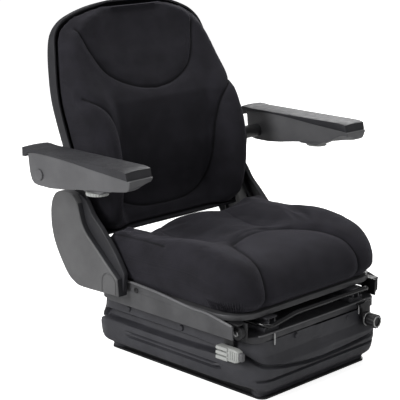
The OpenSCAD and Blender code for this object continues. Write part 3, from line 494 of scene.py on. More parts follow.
def studio():
    """Camera at the photograph's angle, soft lamps and a pale floor."""
    camera_data = bpy.data.cameras.new("studio_camera")
    camera_data.lens = 125.163
    camera_data.sensor_width = 36
    camera_data.clip_start, camera_data.clip_end = 0.1, 50
    camera = bpy.data.objects.new("studio_camera", camera_data)
    bpy.context.scene.collection.objects.link(camera)
    back = Vector((-0.68792, -0.68289, 0.24581))
    camera.location = (-1.9806, -1.8597, 1.0142)
    camera.rotation_mode = "QUATERNION"
    camera.rotation_quaternion = (-back).to_track_quat("-Z", "Y")
    bpy.context.scene.camera = camera

    lamps = (
        ("lamp_left_high", (-2.8, 0.3, 1.7), (0, 0, 0.35), 1.3, 60),
        ("lamp_front", (0.2, -2.9, 1.6), (0, 0, 0.3), 1.3, 5.5),
        ("lamp_top", (0.1, 0.4, 2.8), (0, 0, 0.3), 1.5, 25),
        ("lamp_right_back", (2.4, 1.4, 1.8), (0, 0, 0.4), 1.4, 26),
    )
    for name, place, aim, size, power in lamps:
        lamp_data = bpy.data.lights.new(name, "AREA")
        lamp_data.shape = "DISK"
        lamp_data.size = size
        lamp_data.energy = power
        lamp = bpy.data.objects.new(name, lamp_data)
        lamp.location = place
        direction = Vector(aim) - Vector(place)
        lamp.rotation_euler = direction.to_track_quat("-Z", "Y").to_euler()
        bpy.context.scene.collection.objects.link(lamp)

    world = bpy.data.worlds.new("studio_air")
    world.use_nodes = True
    tree = world.node_tree
    tree.nodes.clear()
    path = add(tree, "LightPath")
    seen = add(tree, "Math", {0: path.outputs["Is Camera Ray"],
                              1: path.outputs["Is Transmission Ray"]}, operation="MAXIMUM")
    strength = add(tree, "MapRange", {"Value": seen.outputs[0], "To Min": 0.25, "To Max": 1.0})
    air = add(tree, "Background", {"Color": (1, 1, 1, 1), "Strength": strength.outputs[0]})
    out = add(tree, "OutputWorld", {"Surface": air.outputs[0]})
    out.is_active_output = True
    bpy.context.scene.world = world

    clear()
    bpy.ops.mesh.primitive_plane_add(size=14, location=(0, 0, -0.0006))
    floor = named("studio_floor")
    paper = bpy.data.materials.new("white_paper_floor")
    paper.use_nodes = True
    tree = paper.node_tree
    tree.nodes.clear()
    path = add(tree, "LightPath")
    matt = add(tree, "BsdfDiffuse", {"Color": (0.9, 0.9, 0.9, 1)})
    glow = add(tree, "Emission", {"Color": (1, 1, 1, 1), "Strength": 0.82})
    both = add(tree, "AddShader", {0: matt.outputs[0], 1: glow.outputs[0]})
    plain = add(tree, "BsdfDiffuse", {"Color": (0.75, 0.75, 0.75, 1)})
    chosen = add(tree, "MixShader", {0: path.outputs["Is Camera Ray"], 1: plain.outputs[0],
                                     2: both.outputs[0]})
    add(tree, "OutputMaterial", {"Surface": chosen.outputs[0]})
    floor.data.materials.append(paper)
    bpy.context.scene.view_settings.view_transform = "Standard"


studio()


# Cushions -------------------------------------------------------------------

def skin(name, rings):
    """Closed mesh through rings of points in millimetres, from the bottom up."""
    count = len(rings[0])
    points = [p for ring in rings for p in ring]
    points.append(np.mean(rings[0], axis=0))
    points.append(np.mean(rings[-1], axis=0))
    walls = [[i * count + j, i * count + (j + 1) % count, (i + 1) * count + (j + 1) % count,
              (i + 1) * count + j] for i in range(len(rings) - 1) for j in range(count)]
    last = (len(rings) - 1) * count
    floor = [[(j + 1) % count, j, len(points) - 2] for j in range(count)]
    roof = [[last + j, last + (j + 1) % count, len(points) - 1] for j in range(count)]
    mesh = bpy.data.meshes.new(name)
    mesh.from_pydata([Vector(p) * MM for p in points], [], walls + floor + roof)
    obj = bpy.data.objects.new(name, mesh)
    bpy.context.scene.collection.objects.link(obj)
    return outward(obj)


def points_of(obj):
    """All points of a piece in metres."""
    co = np.empty(len(obj.data.vertices) * 3)
    obj.data.vertices.foreach_get("co", co)
    return co.reshape(-1, 3)


def put_points(obj, co):
    obj.data.vertices.foreach_set("co", np.asarray(co, np.float64).ravel())
    obj.data.update()


def normals_of(obj):
    n = np.empty(len(obj.data.vertices) * 3)
    obj.data.vertex_normals.foreach_get("vector", n)
    return n.reshape(-1, 3)


def on_surface(obj, line):
    """Places of a line in millimetres dropped onto the nearest place of a piece, in metres."""
    out = []
    for point in line:
        found, place, _, _ = obj.closest_point_on_mesh(Vector(point) * MM)
        out.append(place if found else Vector(point) * MM)
    return out


def away(co, line):
    """Distance of each point from a line of close points, in metres."""
    tree = KDTree(len(line))
    for i, p in enumerate(line):
        tree.insert(p, i)
    tree.balance()
    return np.array([tree.find(Vector(c))[2] for c in co])


def inflate(obj, lines, cap, pressure=4.0, hold=0.007, free=None):
    """Swells a cushion between its seams as cloth under pressure, with its moves capped."""
    rest = points_of(obj)
    near = np.full(len(rest), 1.0)
    for line in lines:
        near = np.minimum(near, away(rest, on_surface(obj, line)))
    weight = 1 - step(near / hold)
    if free is not None:
        weight = np.maximum(weight, free(rest / MM))
    group = obj.vertex_groups.new(name="stitched")
    for i, w in enumerate(weight):
        if w > 0.01:
            group.add([i], float(w), "REPLACE")
    scene = bpy.context.scene
    cloth = obj.modifiers.new("cloth", "CLOTH")
    cloth.settings.quality = 5
    cloth.settings.use_pressure = True
    cloth.settings.uniform_pressure_force = pressure
    cloth.settings.effector_weights.gravity = 0
    cloth.settings.vertex_group_mass = "stitched"
    cloth.settings.tension_stiffness = 12
    cloth.settings.compression_stiffness = 12
    cloth.settings.bending_stiffness = 0.6
    cloth.point_cache.frame_start = 1
    cloth.point_cache.frame_end = 20
    for number in range(1, 21):
        scene.frame_set(number)
    seen = obj.evaluated_get(bpy.context.evaluated_depsgraph_get())
    swollen = points_of(seen)
    obj.modifiers.remove(cloth)
    scene.frame_set(1)
    shift = swollen - rest
    length = np.linalg.norm(shift, axis=1)
    shift *= (np.minimum(length, cap * MM) / np.maximum(length, 1e-9))[:, None]
    put_points(obj, rest + shift)
    obj.vertex_groups.clear()


def draw_in(obj, seams):
    """Draws the cover in along sewn seams: a wide dip and a narrow furrow, marked for painted shade.
    """
    co, normal = points_of(obj), normals_of(obj)
    mark = np.zeros(len(co))
    shift = np.zeros(len(co))
    for line, wide, deep in seams:
        d = away(co, on_surface(obj, line)) / MM
        shift += deep * (0.55 * np.exp(-(d / wide) ** 2) + 0.45 * np.exp(-(d / 3.2) ** 2))
        mark = np.maximum(mark, np.exp(-(d / 2.2) ** 2))
    put_points(obj, co - normal * (shift * MM)[:, None])
    held = obj.data.attributes.get("seam_shade") or obj.data.attributes.new("seam_shade", "FLOAT", "POINT")
    held.data.foreach_set("value", mark.astype(np.float32))


def remesh(obj, size):
    return modify(obj, "REMESH", mode="VOXEL", voxel_size=size * MM)


def both_sides(half):
    """A line given on the right half of the seat, continued on the other half."""
    return [(-x, y, z) for x, y, z in reversed(half)] + [tuple(p) for p in half]


def round_ring(a, b, r, side=12, corner=8):
    """Ring of a rounded rectangle round the origin, anticlockwise."""
    ring = []
    for sx, sy, start in ((1, 1, 0), (-1, 1, 90), (-1, -1, 180), (1, -1, 270)):
        for k in range(corner + 1):
            t = math.radians(start + 90 * k / corner)
            ring.append((sx * (a - r) + r * math.cos(t), sy * (b - r) + r * math.sin(t)))
    out = []
    for i, p in enumerate(ring):
        q = ring[(i + 1) % len(ring)]
        span = math.dist(p, q)
        count = side if span > 2.5 * r * math.pi / 2 / corner else 1
        out += [(p[0] + (q[0] - p[0]) * k / count, p[1] + (q[1] - p[1]) * k / count)
                for k in range(count)]
    return out


PAN_TOP = 172.3
SEAT_Y0, SEAT_Y1 = -212, 195
# Height of the seat cushion over the pan along Y: middle, valley, bolster ridge
SEAT_TOPS = [
    [-212, 62, 66, 70], [-190, 76, 78, 84], [-160, 92, 90, 100], [-120, 101, 97, 113],
    [-80, 103, 96, 119], [-40, 99, 91, 119], [0, 91, 80, 113], [50, 90, 73, 101],
    [100, 97, 79, 98], [120, 102, 82, 103], [133, 106, 85, 108], [142, 104, 83, 106],
    [151, 91, 79, 95], [158, 84, 75, 86], [168, 80, 71, 80], [178, 79, 69, 79],
    [187, 78, 66, 79], [195, 72, 60, 71],
]
# Share of the height, and how far the cover stands in at the front and at the rear
SEAT_RINGS = [
    [0, 18, 18], [0.07, 11, 11], [0.16, 9, 9], [0.22, 2, 3], [0.32, 0, 0], [0.5, 0, 0],
    [0.7, 4, 2], [0.83, 10, 5], [0.92, 18, 10], [0.98, 28, 16], [1, 40, 28], [1, 56, 46],
    [1, 76, 70], [1, 98, 96], [1, 122, 122], [1, 146, 146], [1, 168, 168],
]


def seat_top(x, y):
    """Height of the seat cushion's top in millimetres."""
    s = abs(x)
    rear = step((y - 95) / 90)
    middle, valley, ridge = (table(SEAT_TOPS, y, k) for k in (1, 2, 3))
    valley += 16 * rear * step(x / 60)
    flat, dip, crest = 42 * rear, 100, 182 - 14 * rear
    if s < dip:
        return PAN_TOP + middle + (valley - middle) * step((s - flat) / (dip - flat))
    top = PAN_TOP + valley + (ridge - valley) * step((s - dip) / (crest - dip))
    return top + 9 * math.exp(-((s - 207) / 9) ** 2) * step((y - 10) / 50)


def seat_ring(share, front_in, rear_in, slack):
    """Ring round the seat cushion, with tighter corners high up at the rear."""
    middle = (SEAT_Y0 + SEAT_Y1) / 2
    half = (SEAT_Y1 - SEAT_Y0) / 2
    low = 62 - 30 * step((share - 0.33) / 0.17)
    front = round_ring(222 - slack - front_in, half - slack - front_in,
                       max(62 - front_in * 0.5, 18))
    rear = round_ring(222 - slack - rear_in, half - slack - rear_in,
                      max(low - rear_in * 0.5, 14))
    ring = []
    for (fx, fy), (rx, ry) in zip(front, rear):
        back = step((fy + middle + 40) / 110)
        x, y = fx + (rx - fx) * back, fy + (ry - fy) * back + middle
        ring.append((x, y, PAN_TOP + share * (seat_top(x, y) - slack - PAN_TOP)))
    return ring


def seat_cushion():
    """Foam seat cushion in a sewn cover: front panel, two bolsters, side panels."""
    cushion = skin("seat_cushion_cover", [seat_ring(s, i, j, 3.0) for s, i, j in SEAT_RINGS])
    remesh(cushion, 5)
    arch = curve_points([
        (0, -46, 273), (40, -49, 273), (70, -58, 272), (86, -70, 272), (99, -93, 272),
        (110, -117, 269), (119, -145, 264), (127, -172, 257), (133, -194, 242),
        (137, -205, 224), (138, -210, 203), (138, -208, 178)], 14)
    arch = both_sides([tuple(p) for p in arch])
    fold = curve_points([
        (120, 193, 245), (165, 192, 250), (196, 184, 258), (205, 165, 264), (207, 127, 268),
        (207, 68, 274), (207, 30, 274), (208, 2, 272)], 14)
    folds = [[tuple(p) for p in fold], [(-p[0], p[1], p[2]) for p in fold]]
    valley = curve_points([(94, 178, 238), (98, 140, 250), (98, 100, 247), (96, 50, 247),
                           (88, 0, 256), (76, -40, 268)], 14)
    valleys = [[tuple(p) for p in valley], [(-p[0], p[1], p[2]) for p in valley]]
    held = lambda p: step((PAN_TOP + 12 - p[:, 2]) / 8)
    inflate(cushion, [arch, *folds], 5, free=held)
    modify(cushion, "SUBSURF", levels=1, render_levels=1)
    draw_in(cushion, [(arch, 13, 7.0), (folds[0], 7, 2.6), (folds[1], 7, 2.6),
                      (valleys[0], 22, 3.5), (valleys[1], 22, 3.5)])
    # The valleys are drawn in but keep no painted shade
    mark = np.empty(len(cushion.data.vertices), np.float32)
    held = cushion.data.attributes["seam_shade"].data
    held.foreach_get("value", mark)
    for valley in valleys:
        d = away(points_of(cushion), on_surface(cushion, valley)) / MM
        mark = np.where(d < 10, 0, mark).astype(np.float32)
    held.foreach_set("value", mark)
    pleats(cushion)
    smooth(cushion, 80)
    dress(cushion, cloth_finish, "seat", ["seat_cushion"])


def pleats(cushion):
    """Short gathers where the cover is drawn round the two front corners."""
    only(cushion)
    bpy.ops.object.mode_set(mode="EDIT")
    pick(cushion, lambda c, n: c.z < 202 and c.y < -112 and abs(c.x) > 150)
    bpy.ops.mesh.subdivide(number_cuts=1)
    bpy.ops.object.mode_set(mode="OBJECT")
    co, normal = points_of(cushion), normals_of(cushion)
    p = co / MM
    corner = np.abs(np.degrees(np.arctan2(-(p[:, 1] + 150), np.abs(p[:, 0]) - 160)) - 16)
    place = np.degrees(np.arctan2(-(p[:, 1] + 150), np.abs(p[:, 0]) - 160))
    share = step((48 - corner) / 14) * step((203 - p[:, 2]) / 14) * step((p[:, 2] - 172) / 6)
    share *= (np.abs(p[:, 0]) > 150) & (p[:, 1] < -112)
    wave = 1.5 * np.cos(place / 5.2 * 2 * math.pi)
    put_points(cushion, co + normal * (share * wave * MM)[:, None])


seat_cushion()

# Backrest stations: height, bolster front, back, half width
BACK_ROWS = [
    [258, 178, 212, 188], [268, 166, 224, 198], [290, 158, 236, 205], [330, 150, 252, 209],
    [380, 148, 272, 211], [440, 156, 295, 213], [500, 184, 313, 217], [535, 210, 320, 218],
    [560, 232, 324, 217], [600, 258, 330, 214], [630, 274, 333, 209], [650, 282, 334, 201],
    [668, 288, 335, 182], [680, 291, 335, 157], [692, 294, 332, 119], [704, 297, 326, 62],
]
BACK_ROWS = curve_points(BACK_ROWS, 4)
BACK_DISH = [
    [258, 14], [275, 28], [290, 44], [310, 60], [330, 66], [380, 58], [440, 50], [480, 36],
    [510, 24], [535, 18], [560, 12], [600, 5], [704, 3],
]
SHELL_T, SHELL_RIM = 4, 30


def shell_rim(z):
    """How far the shell comes forward round the cushion: less at the top."""
    return SHELL_RIM - 17 * step((z - 600) / 80)


def back_ring(z, inset_by, slack):
    """Section of the backrest cushion at a height."""
    width = table(BACK_ROWS, z, 3)
    w = width - 1 - inset_by - slack * 0.6
    back = table(BACK_ROWS, z, 2)
    b = back - SHELL_T - 2.5 - inset_by * 0.7
    lip = back - shell_rim(z) - 1.5
    f = min(table(BACK_ROWS, z, 1) + inset_by, lip - 8) + slack
    in_w = width - SHELL_T - 2.5 - inset_by
    ring = []
    for s in np.linspace(-1, 1, 41):
        dish = table(BACK_DISH, z, 1) * (1 - step((abs(s) - 0.58) / 0.27))
        top = step((z - 610) / 70)
        edge = (34 + 12 * top) * max(0.0, (abs(s) - 0.9 + 0.12 * top) / (0.1 + 0.12 * top)) ** 2.2
        limit = b - 14 if abs(s) < 0.75 else lip - 3
        ring.append((s * w, min(f + dish + edge, limit), z))
    ring += [(w, lip, z), (in_w, lip, z), (in_w - 8, b - 6, z), (in_w * 0.8, b, z)]
    ring += [(in_w * s, b, z) for s in (0.5, 0.2, -0.2, -0.5)]
    ring += [(-in_w * 0.8, b, z), (-in_w + 8, b - 6, z), (-in_w, lip, z), (-w, lip, z)]
    return ring


def backrest_cushion():
    """Foam backrest in a sewn cover: head panel, two bolsters, lumbar roll."""
    heights = [261, 266, 273, 284, 294, 306, 320, 340, 360, 385, 410, 440, 465, 490, 510, 530,
               550, 575, 600, 620, 638, 652, 664, 674, 682, 688, 692, 695]
    insets = np.interp(heights, [261, 268, 284, 664, 680, 690, 695], [12, 5, 0, 1, 3, 9, 18])
    cushion = skin("backrest_cushion_cover",
                   [back_ring(z, i, 3.0) for z, i in zip(heights, insets)])
    remesh(cushion, 5)
    smile = curve_points([
        (0, 236, 527), (40, 238, 532), (76, 246, 542), (104, 254, 556), (122, 260, 572),
        (135, 268, 592), (144, 275, 612), (152, 283, 634), (160, 289, 652), (170, 292, 668)], 12)
    head = both_sides([tuple(p) for p in smile])
    side = curve_points([
        (206, 232, 528), (196, 214, 522), (180, 206, 508), (168, 205, 493), (160, 206, 477),
        (154, 206, 459), (149, 206, 442), (145, 206, 420), (142, 206, 395), (139, 207, 370),
        (134, 210, 345), (126, 214, 322), (112, 214, 306), (92, 212, 297), (68, 210, 290),
        (40, 208, 287), (0, 207, 286)], 10)
    loop = [tuple(p) for p in side]
    loop = loop + [(-x, y, z) for x, y, z in reversed(loop)]
    held = lambda p: step((p[:, 1] - (table(BACK_ROWS, p[:, 2], 2) - SHELL_RIM - 6)) / 5)
    inflate(cushion, [head, loop], 5, free=held)
    modify(cushion, "SUBSURF", levels=1, render_levels=1)
    draw_in(cushion, [(head, 13, 7.5), (loop, 13, 8.0)])
    smooth(cushion, 80)
    dress(cushion, cloth_finish, "backrest", ["backrest_cushion"])


backrest_cushion()


# Suspension: bellows and frame ------------------------------------------------

def bellows_out(x, y, z, nx, ny):
    """How far the rubber stands out of the upper frame's outline at a place, in millimetres."""
    front = step(ny * ny)
    side_form = np.interp(z, [4, 13, 18, 22, 26, 31, 40, 50, 66, 76, 84, 99, 118],
                          [-56, -54, -46, -28, -8, 4, 9, 11, 13, 12, 9, 2, 0])
    front_form = np.interp(z, [4, 8, 13, 18, 24, 33, 50, 60, 68, 78, 88, 118],
                           [-9, -8, -5, 2, 8, 10, 12, 12, 11, 6, 2, 0])
    side_form -= 3.5 * step((-135 - y) / 30) * step((z - 20) / 8)
    out = side_form + (front_form - side_form) * front
    # Deep groove: wide under the collar at the sides, narrow and lower at the front
    middle = groove_height(x, ny)
    half = np.interp(y, [-170, -145, -57, 30, 190], [3.5, 4.5, 8, 9, 8]) * (1 - front) + 2.8 * front
    out -= (16 - 8 * front) * step((half + 2.2 - abs(z - middle)) / 4.4)
    # Second groove across the front
    out -= 6.0 * step((2.2 + 1.6 - abs(z - 43)) / 2.8) * step((front - 0.6) / 0.3)
    # Long rounded slot pressed into the side
    if front < 0.4:
        reach = math.hypot(max(abs(y + 11) - 124, 0), z - 61.5) - 4.6
        out -= 8 * step((2.1 - abs(reach)) / 1.9) + 1.6 * step(-reach / 2)
    # Overlapping end of the front band
    if ny < -0.9:
        end = np.interp(z, [69, 97, 118], [27, -11, -11])
        out += 2.4 * step((x - end) / 1.6) * step((z - 66) / 5)
    return out


def groove_height(x, ny):
    """Height of the deep groove: high at the sides, sinking to the middle of the front."""
    low = np.interp(x, [-185, -161, -110, -50, 0, 70, 185], [78, 72, 62, 54, 51, 53, 61])
    return 90 + ((low if ny < 0 else 60) - 90) * step(ny * ny)


def follow_groove(x, ny, z):
    """Rows of the bellows rise and fall with the deep groove."""
    return (groove_height(x, ny) - 73.5) * math.exp(-((z - 73.5) / 24) ** 2)


def sleeve(name, half_x, half_y, corner, heights, out, wall, lift=None):
    """Wall drawn up from a circle, pushed to a rounded outline, and given its thickness."""
    start = round_ring(half_x, half_y, corner, side=40, corner=12)
    grown = round_ring(half_x + 1, half_y + 1, corner + 1, side=40, corner=12)
    clear()
    bpy.ops.mesh.primitive_circle_add(vertices=len(start), radius=0.2)
    piece = named(name)
    only(piece)
    bpy.ops.object.mode_set(mode="EDIT")
    bpy.ops.mesh.select_mode(type="EDGE")
    bpy.ops.mesh.select_all(action="SELECT")
    for k in range(1, len(heights)):
        bpy.ops.mesh.extrude_region_move(TRANSFORM_OT_translate={"value": (0, 0, 0.002)})
    done()
    count = len(start)
    for row, z in enumerate(heights):
        for k in range(count):
            (x, y), (gx, gy) = start[k], grown[k]
            nx, ny = gx - x, gy - y
            at = z + lift(x, ny, z) if lift else z
            far = out(x, y, at, nx, ny)
            place = Vector((x + nx * far, y + ny * far, at)) * MM
            piece.data.vertices[row * count + k].co = place
    outward(piece)
    return modify(piece, "SOLIDIFY", thickness=wall * MM, offset=-1)


def bellows():
    """Rubber bellows: collar, deep folds, bulge and hem, from the floor plate to the frame."""
    heights = list(np.arange(4.6, 37, 1.9)) + list(np.arange(37, 108, 1.15)) + [112, 117.4]
    piece = sleeve("rubber_bellows", 187, 218, 45, heights, bellows_out, 2.4,
                   follow_groove)
    clips = []
    for x, y, z in ((188, 122, 111), (189, -30, 108)):
        clips += [bar("clip", (s * (x - 2), y, z), (s * (x + 3), y, z), 6.5, 20, 0.75)
                  for s in (-1, 1)]
    for x, z in ((-67, 110), (87, 108)):
        clips += [bar("clip", (x, s * 216, z), (x, s * 222.6, z), 6.5, 20, 0.75) for s in (-1, 1)]
    for clip in clips:
        bevel(clip, 0.8)
    piece = join("rubber_bellows", piece, *clips)
    smooth(piece, 45)
    dress(piece, rubber_finish, replaces=["bellows"])
    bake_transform(piece)


bellows()


def coil_spring(hand):
    """Coil spring with closed ends, standing between the floor plate and the tray."""
    side = -1 if hand == "right" else 1
    path = []
    for k in range(157):
        turn = k / 24
        z = np.interp(turn, [0, 0.9, 5.6, 6.5], [7.1, 12.4, 119.6, 124.9])
        path.append((side * 48 + 19.5 * math.cos(turn * 2 * math.pi),
                     -40 + 19.5 * math.sin(turn * 2 * math.pi), z))
    spring = wire("wound_spring_" + hand, path, 2.5, 12)
    dress(spring, spring_finish, replaces=["coil_spring_" + hand])
    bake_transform(spring)


coil_spring("right")
coil_spring("left")
# Steel strip that clamps the foot of the bellows to the floor plate
strip = sleeve("bellows_clamp_strip", 150, 208, 8, [0.4, 2.2, 4.2, 4.6, 9, 13.4],
               lambda x, y, z, nx, ny: 7 if z < 4.3 else -1, 1.6)
smooth(strip, 40)
dress(strip, frame_finish, "base")

body_of = {node: body for body, nodes in frame["record"]["behaviour"]["bodies"].items()
           for node in nodes}


def eased(name, node, width, finish, segments=2, angle=30):
    """A steel or moulded piece of the model with its edges eased."""
    clear()
    piece = bpy.data.objects.new(name, frame["nodes"][node].data.copy())
    piece.data.name = name
    bpy.context.scene.collection.objects.link(piece)
    only(piece)
    bpy.ops.object.mode_set(mode="EDIT")
    bpy.ops.mesh.select_all(action="SELECT")
    bpy.ops.mesh.remove_doubles(threshold=0.00001)
    bpy.ops.mesh.dissolve_limited(angle_limit=math.radians(0.8))
    done()
    bevel(piece, width, segments, angle)
    smooth(piece, 32)
    return dress(piece, finish, body_of[node], [node])


def side_places(side, points):
    """Places given for the sitter's left, taken to a side."""
    return [(side * x, y, z) for x, y, z in points]


eased("floor_plate", "base_plate", 1.2, frame_finish)
eased("upper_frame_tray", "upper_plate", 1.6, tray_finish, 3)
for hand in ("right", "left"):
    side = -1 if hand == "right" else 1
    eased("rail_lower_" + hand, "slide_lower_rail_" + hand, 0.7, rail_finish)
    eased("rail_upper_" + hand, "slide_upper_rail_" + hand, 0.7, rail_finish)
    # Rolled rim along the pan side, paler as a painted highlight
    roll = wire("pan_edge_" + hand, curve_points(side_places(side, [
        (217, 130, 166), (217, 114, 174), (217.4, 91, 182), (217.4, 45, 181), (217.4, -1, 178),
        (217.4, -83, 169.5), (217.4, -126, 168.5), (217, -167, 161.5), (215, -190, 156)]), 5), 2.6)
    dress(roll, highlight_edge_finish, "seat")
    plug = bar("pan_plug_" + hand, (side * 216, 67, 169), (side * 219.2, 67, 169), 5.6, 28)
    bevel(plug, 0.8)
    smooth(plug)
    dress(plug, black_finish, "seat")
    eased("pan_side_" + hand, "pan_side_plate_" + hand, 1.0, pan_finish)
    hub_bolt = bar("hub_bolt_" + hand, (side * 201.5, -191, 141), (side * 206.8, -191, 141), 6.2, 6)
    bevel(hub_bolt, 0.8)
    smooth(hub_bolt)
    dress(hub_bolt, zinc_finish, "seat")
    eased("front_hub_" + hand + "_turned", "front_hub_" + hand, 0.9, black_finish)
    eased("back_arm_" + hand, "side_arm_" + hand, 0.8, frame_finish)
eased("seat_pan_pressed", "seat_pan", 2.2, pan_finish, 3)
eased("knob_bracket", "adjuster_bracket", 0.7, frame_finish)
eased("ribbed_preload_knob", "preload_knob", 0.6, black_finish)
eased("lever_carrier", "lever_bracket", 0.6, frame_finish)


def height_lever():
    """Light nylon grip of the height lever: three teeth behind, upright ribs, a dark nose."""
    body = box("body", (-213.5, -205, 86), (-199, -174, 112))
    cut(body, 1, [-196, -184])
    shape(body, lambda x, y, z: (x, y, z + (3.5 if y < -200 and z < 90 else
                                            -3.5 if y < -200 else 0)))
    bevel(body, 2.2, 3)
    pieces = [body]
    for low in (86, 95.4, 104.8):
        tooth = box("tooth", (-216.5, -180, low), (-199, -150, low + 6.6))
        bevel(tooth, 1.4, 3)
        pieces.append(tooth)
    back = box("back", (-208, -176, 87), (-199.5, -152, 111))
    bevel(back, 1.2)
    pieces.append(back)
    for k in range(4):
        rib = box("rib", (-215, -202 + k * 5.2, 91), (-212, -199.8 + k * 5.2, 108))
        bevel(rib, 0.6)
        pieces.append(rib)
    grip = join("ribbed_height_lever", *pieces)
    shape(grip, lambda x, y, z: (x - 1.2, y, z))
    smooth(grip, 35)
    dress(grip, handle_finish, "height_control", ["height_lever"])
    nose = box("lever_nose", (-212.5, -213, 91), (-202, -203, 107))
    bevel(nose, 3, 3)
    smooth(nose)
    dress(nose, side_finish, "height_control")


height_lever()
for ring_name, y, radius in (("preload_bush_ring", -234.6, 12.5), ("preload_knob_ring", -258.6, 10.5)):
    turn = [(134 + radius * math.cos(t), y, 97 + radius * math.sin(t))
            for t in np.linspace(0, 2 * math.pi, 40, endpoint=False)]
    ring = wire(ring_name, turn, 1.3, 12, closed=True)
    dress(ring, zinc_finish, "upper_frame" if "bush" in ring_name else "preload_control")
# Rolled front lip of the tray, paler as a painted highlight, and the stop pins under the release bar
lip = wire("tray_front_lip", curve_points([(-168, -214, 131.4), (-150, -218, 131.4),
                                           (0, -218.6, 131.4), (150, -218, 131.4),
                                           (168, -214, 131.4)], 6), 1.5)
dress(lip, highlight_edge_finish, "upper_frame")
for hand, x in (("right", -131), ("left", 121)):
    pin = bar("slide_stop_pin_" + hand, (x, -221.5, 108), (x, -221.5, 131), 1.6, 16)
    bevel(pin, 0.5)
    smooth(pin)
    dress(pin, zinc_finish, "upper_frame")
eased("recline_handle", "recline_lever", 1.4, black_finish, 3)


def release_bar():
    """Bent round bar with an eye at each end, that lifts to free the slide."""
    x = 126 + 20 + 4.5 + 2
    path = [(-x, -117, 149), (-x, -206, 149), (-x + 8, -222, 147), (-72, -222, 158),
            (144, -222, 158), (x, -210, 149), (x, -117, 149)]
    soft = []
    for k, point in enumerate(path):
        if k in (0, len(path) - 1):
            soft.append(point)
            continue
        before, after = Vector(path[k - 1]), Vector(path[k + 1])
        corner = Vector(point)
        a = corner + (before - corner).normalized() * min(9, (before - corner).length * 0.4)
        b = corner + (after - corner).normalized() * min(9, (after - corner).length * 0.4)
        soft += [tuple(a * (1 - t) ** 2 + corner * 2 * t * (1 - t) + b * t * t)
                 for t in np.linspace(0, 1, 6)]
    rod = wire("rod", soft, 4.5, 20)
    eyes = [bar("eye", (s * (x - 4.4), -112, 149), (s * (x + 4.4), -112, 149), 8.5, 32)
            for s in (-1, 1)]
    for eye in eyes:
        bevel(eye, 0.8)
    piece = join("bent_release_bar", rod, *eyes)
    smooth(piece, 40)
    dress(piece, gloss_finish, "release_bar", ["slide_release_bar"])


release_bar()


# Backrest: shell and side covers ------------------------------------------------

def backrest_shell():
    """Moulded rear shell: a dish that comes round the sides of the backrest."""
    across = [(-1, 1), (-1, 0.35), (-0.97, 0.08), (-0.85, 0), (-0.5, 0), (0, 0), (0.5, 0),
              (0.85, 0), (0.97, 0.08), (1, 0.35), (1, 1)]
    up = [(0, 1), (0.004, 0.4), (0.025, 0.1), (0.08, 0), (0.2, 0), (0.35, 0), (0.5, 0), (0.65, 0),
          (0.78, 0), (0.88, 0), (0.92, 0.02), (0.95, 0.05), (0.975, 0.15), (0.988, 0.35), (1, 1)]
    across, up = curve_points(across, 4), curve_points(up, 5)
    clear()
    bpy.ops.mesh.primitive_grid_add(x_subdivisions=len(across) - 1, y_subdivisions=len(up) - 1,
                                    size=2)
    shell = named("moulded_back_shell")

    def place(x, y, z):
        u = across[int(round((x * MM + 1) / 2 * (len(across) - 1)))]
        v = up[int(round((y * MM + 1) / 2 * (len(up) - 1)))]
        height = 258 + min(max(v[0], 0), 1) * 446
        half = table(BACK_ROWS, height, 3)
        drop = min(max(u[1], v[1], 0), 1) * shell_rim(height)
        return min(max(u[0], -1), 1) * half, table(BACK_ROWS, height, 2) - drop, height

    shape(shell, place)
    modify(shell, "SMOOTH", factor=0.5, iterations=3)
    outward(shell)
    middle = shell.data.polygons[len(shell.data.polygons) // 2]
    if middle.normal.y < 0:
        shell.data.flip_normals()
    modify(shell, "SOLIDIFY", thickness=SHELL_T * MM, offset=-1, use_rim=True)
    bevel(shell, 0.8, 2, 50)
    smooth(shell, 50)
    dress(shell, shell_finish, "backrest", ["backrest_shell"])


backrest_shell()

COVER_BACK = [(176, 155), (198, 155), (214, 158), (236, 171), (258, 199), (277, 232), (286, 262),
              (288, 284), (287, 305), (281, 325), (269, 339), (250, 345), (230, 345), (215, 339),
              (205, 326), (199, 307), (192, 288), (181, 272), (166, 258), (148, 243), (126, 224),
              (107, 208), (89, 193)]


LINER_BACK = [(250, 336), (222, 341), (206, 340), (192, 331), (174, 306), (150, 284), (128, 262),
              (109, 241), (94, 221), (82, 203)]


def inward(ring, by):
    """Ring of places moved inwards, for the inner wall of a cover."""
    p = np.array(ring, float)
    before, after = np.roll(p, 1, axis=0), np.roll(p, -1, axis=0)
    along = after - before
    along /= np.linalg.norm(along, axis=1)[:, None]
    return [tuple(q) for q in p + np.stack([-along[:, 1], along[:, 0]], axis=1) * by]


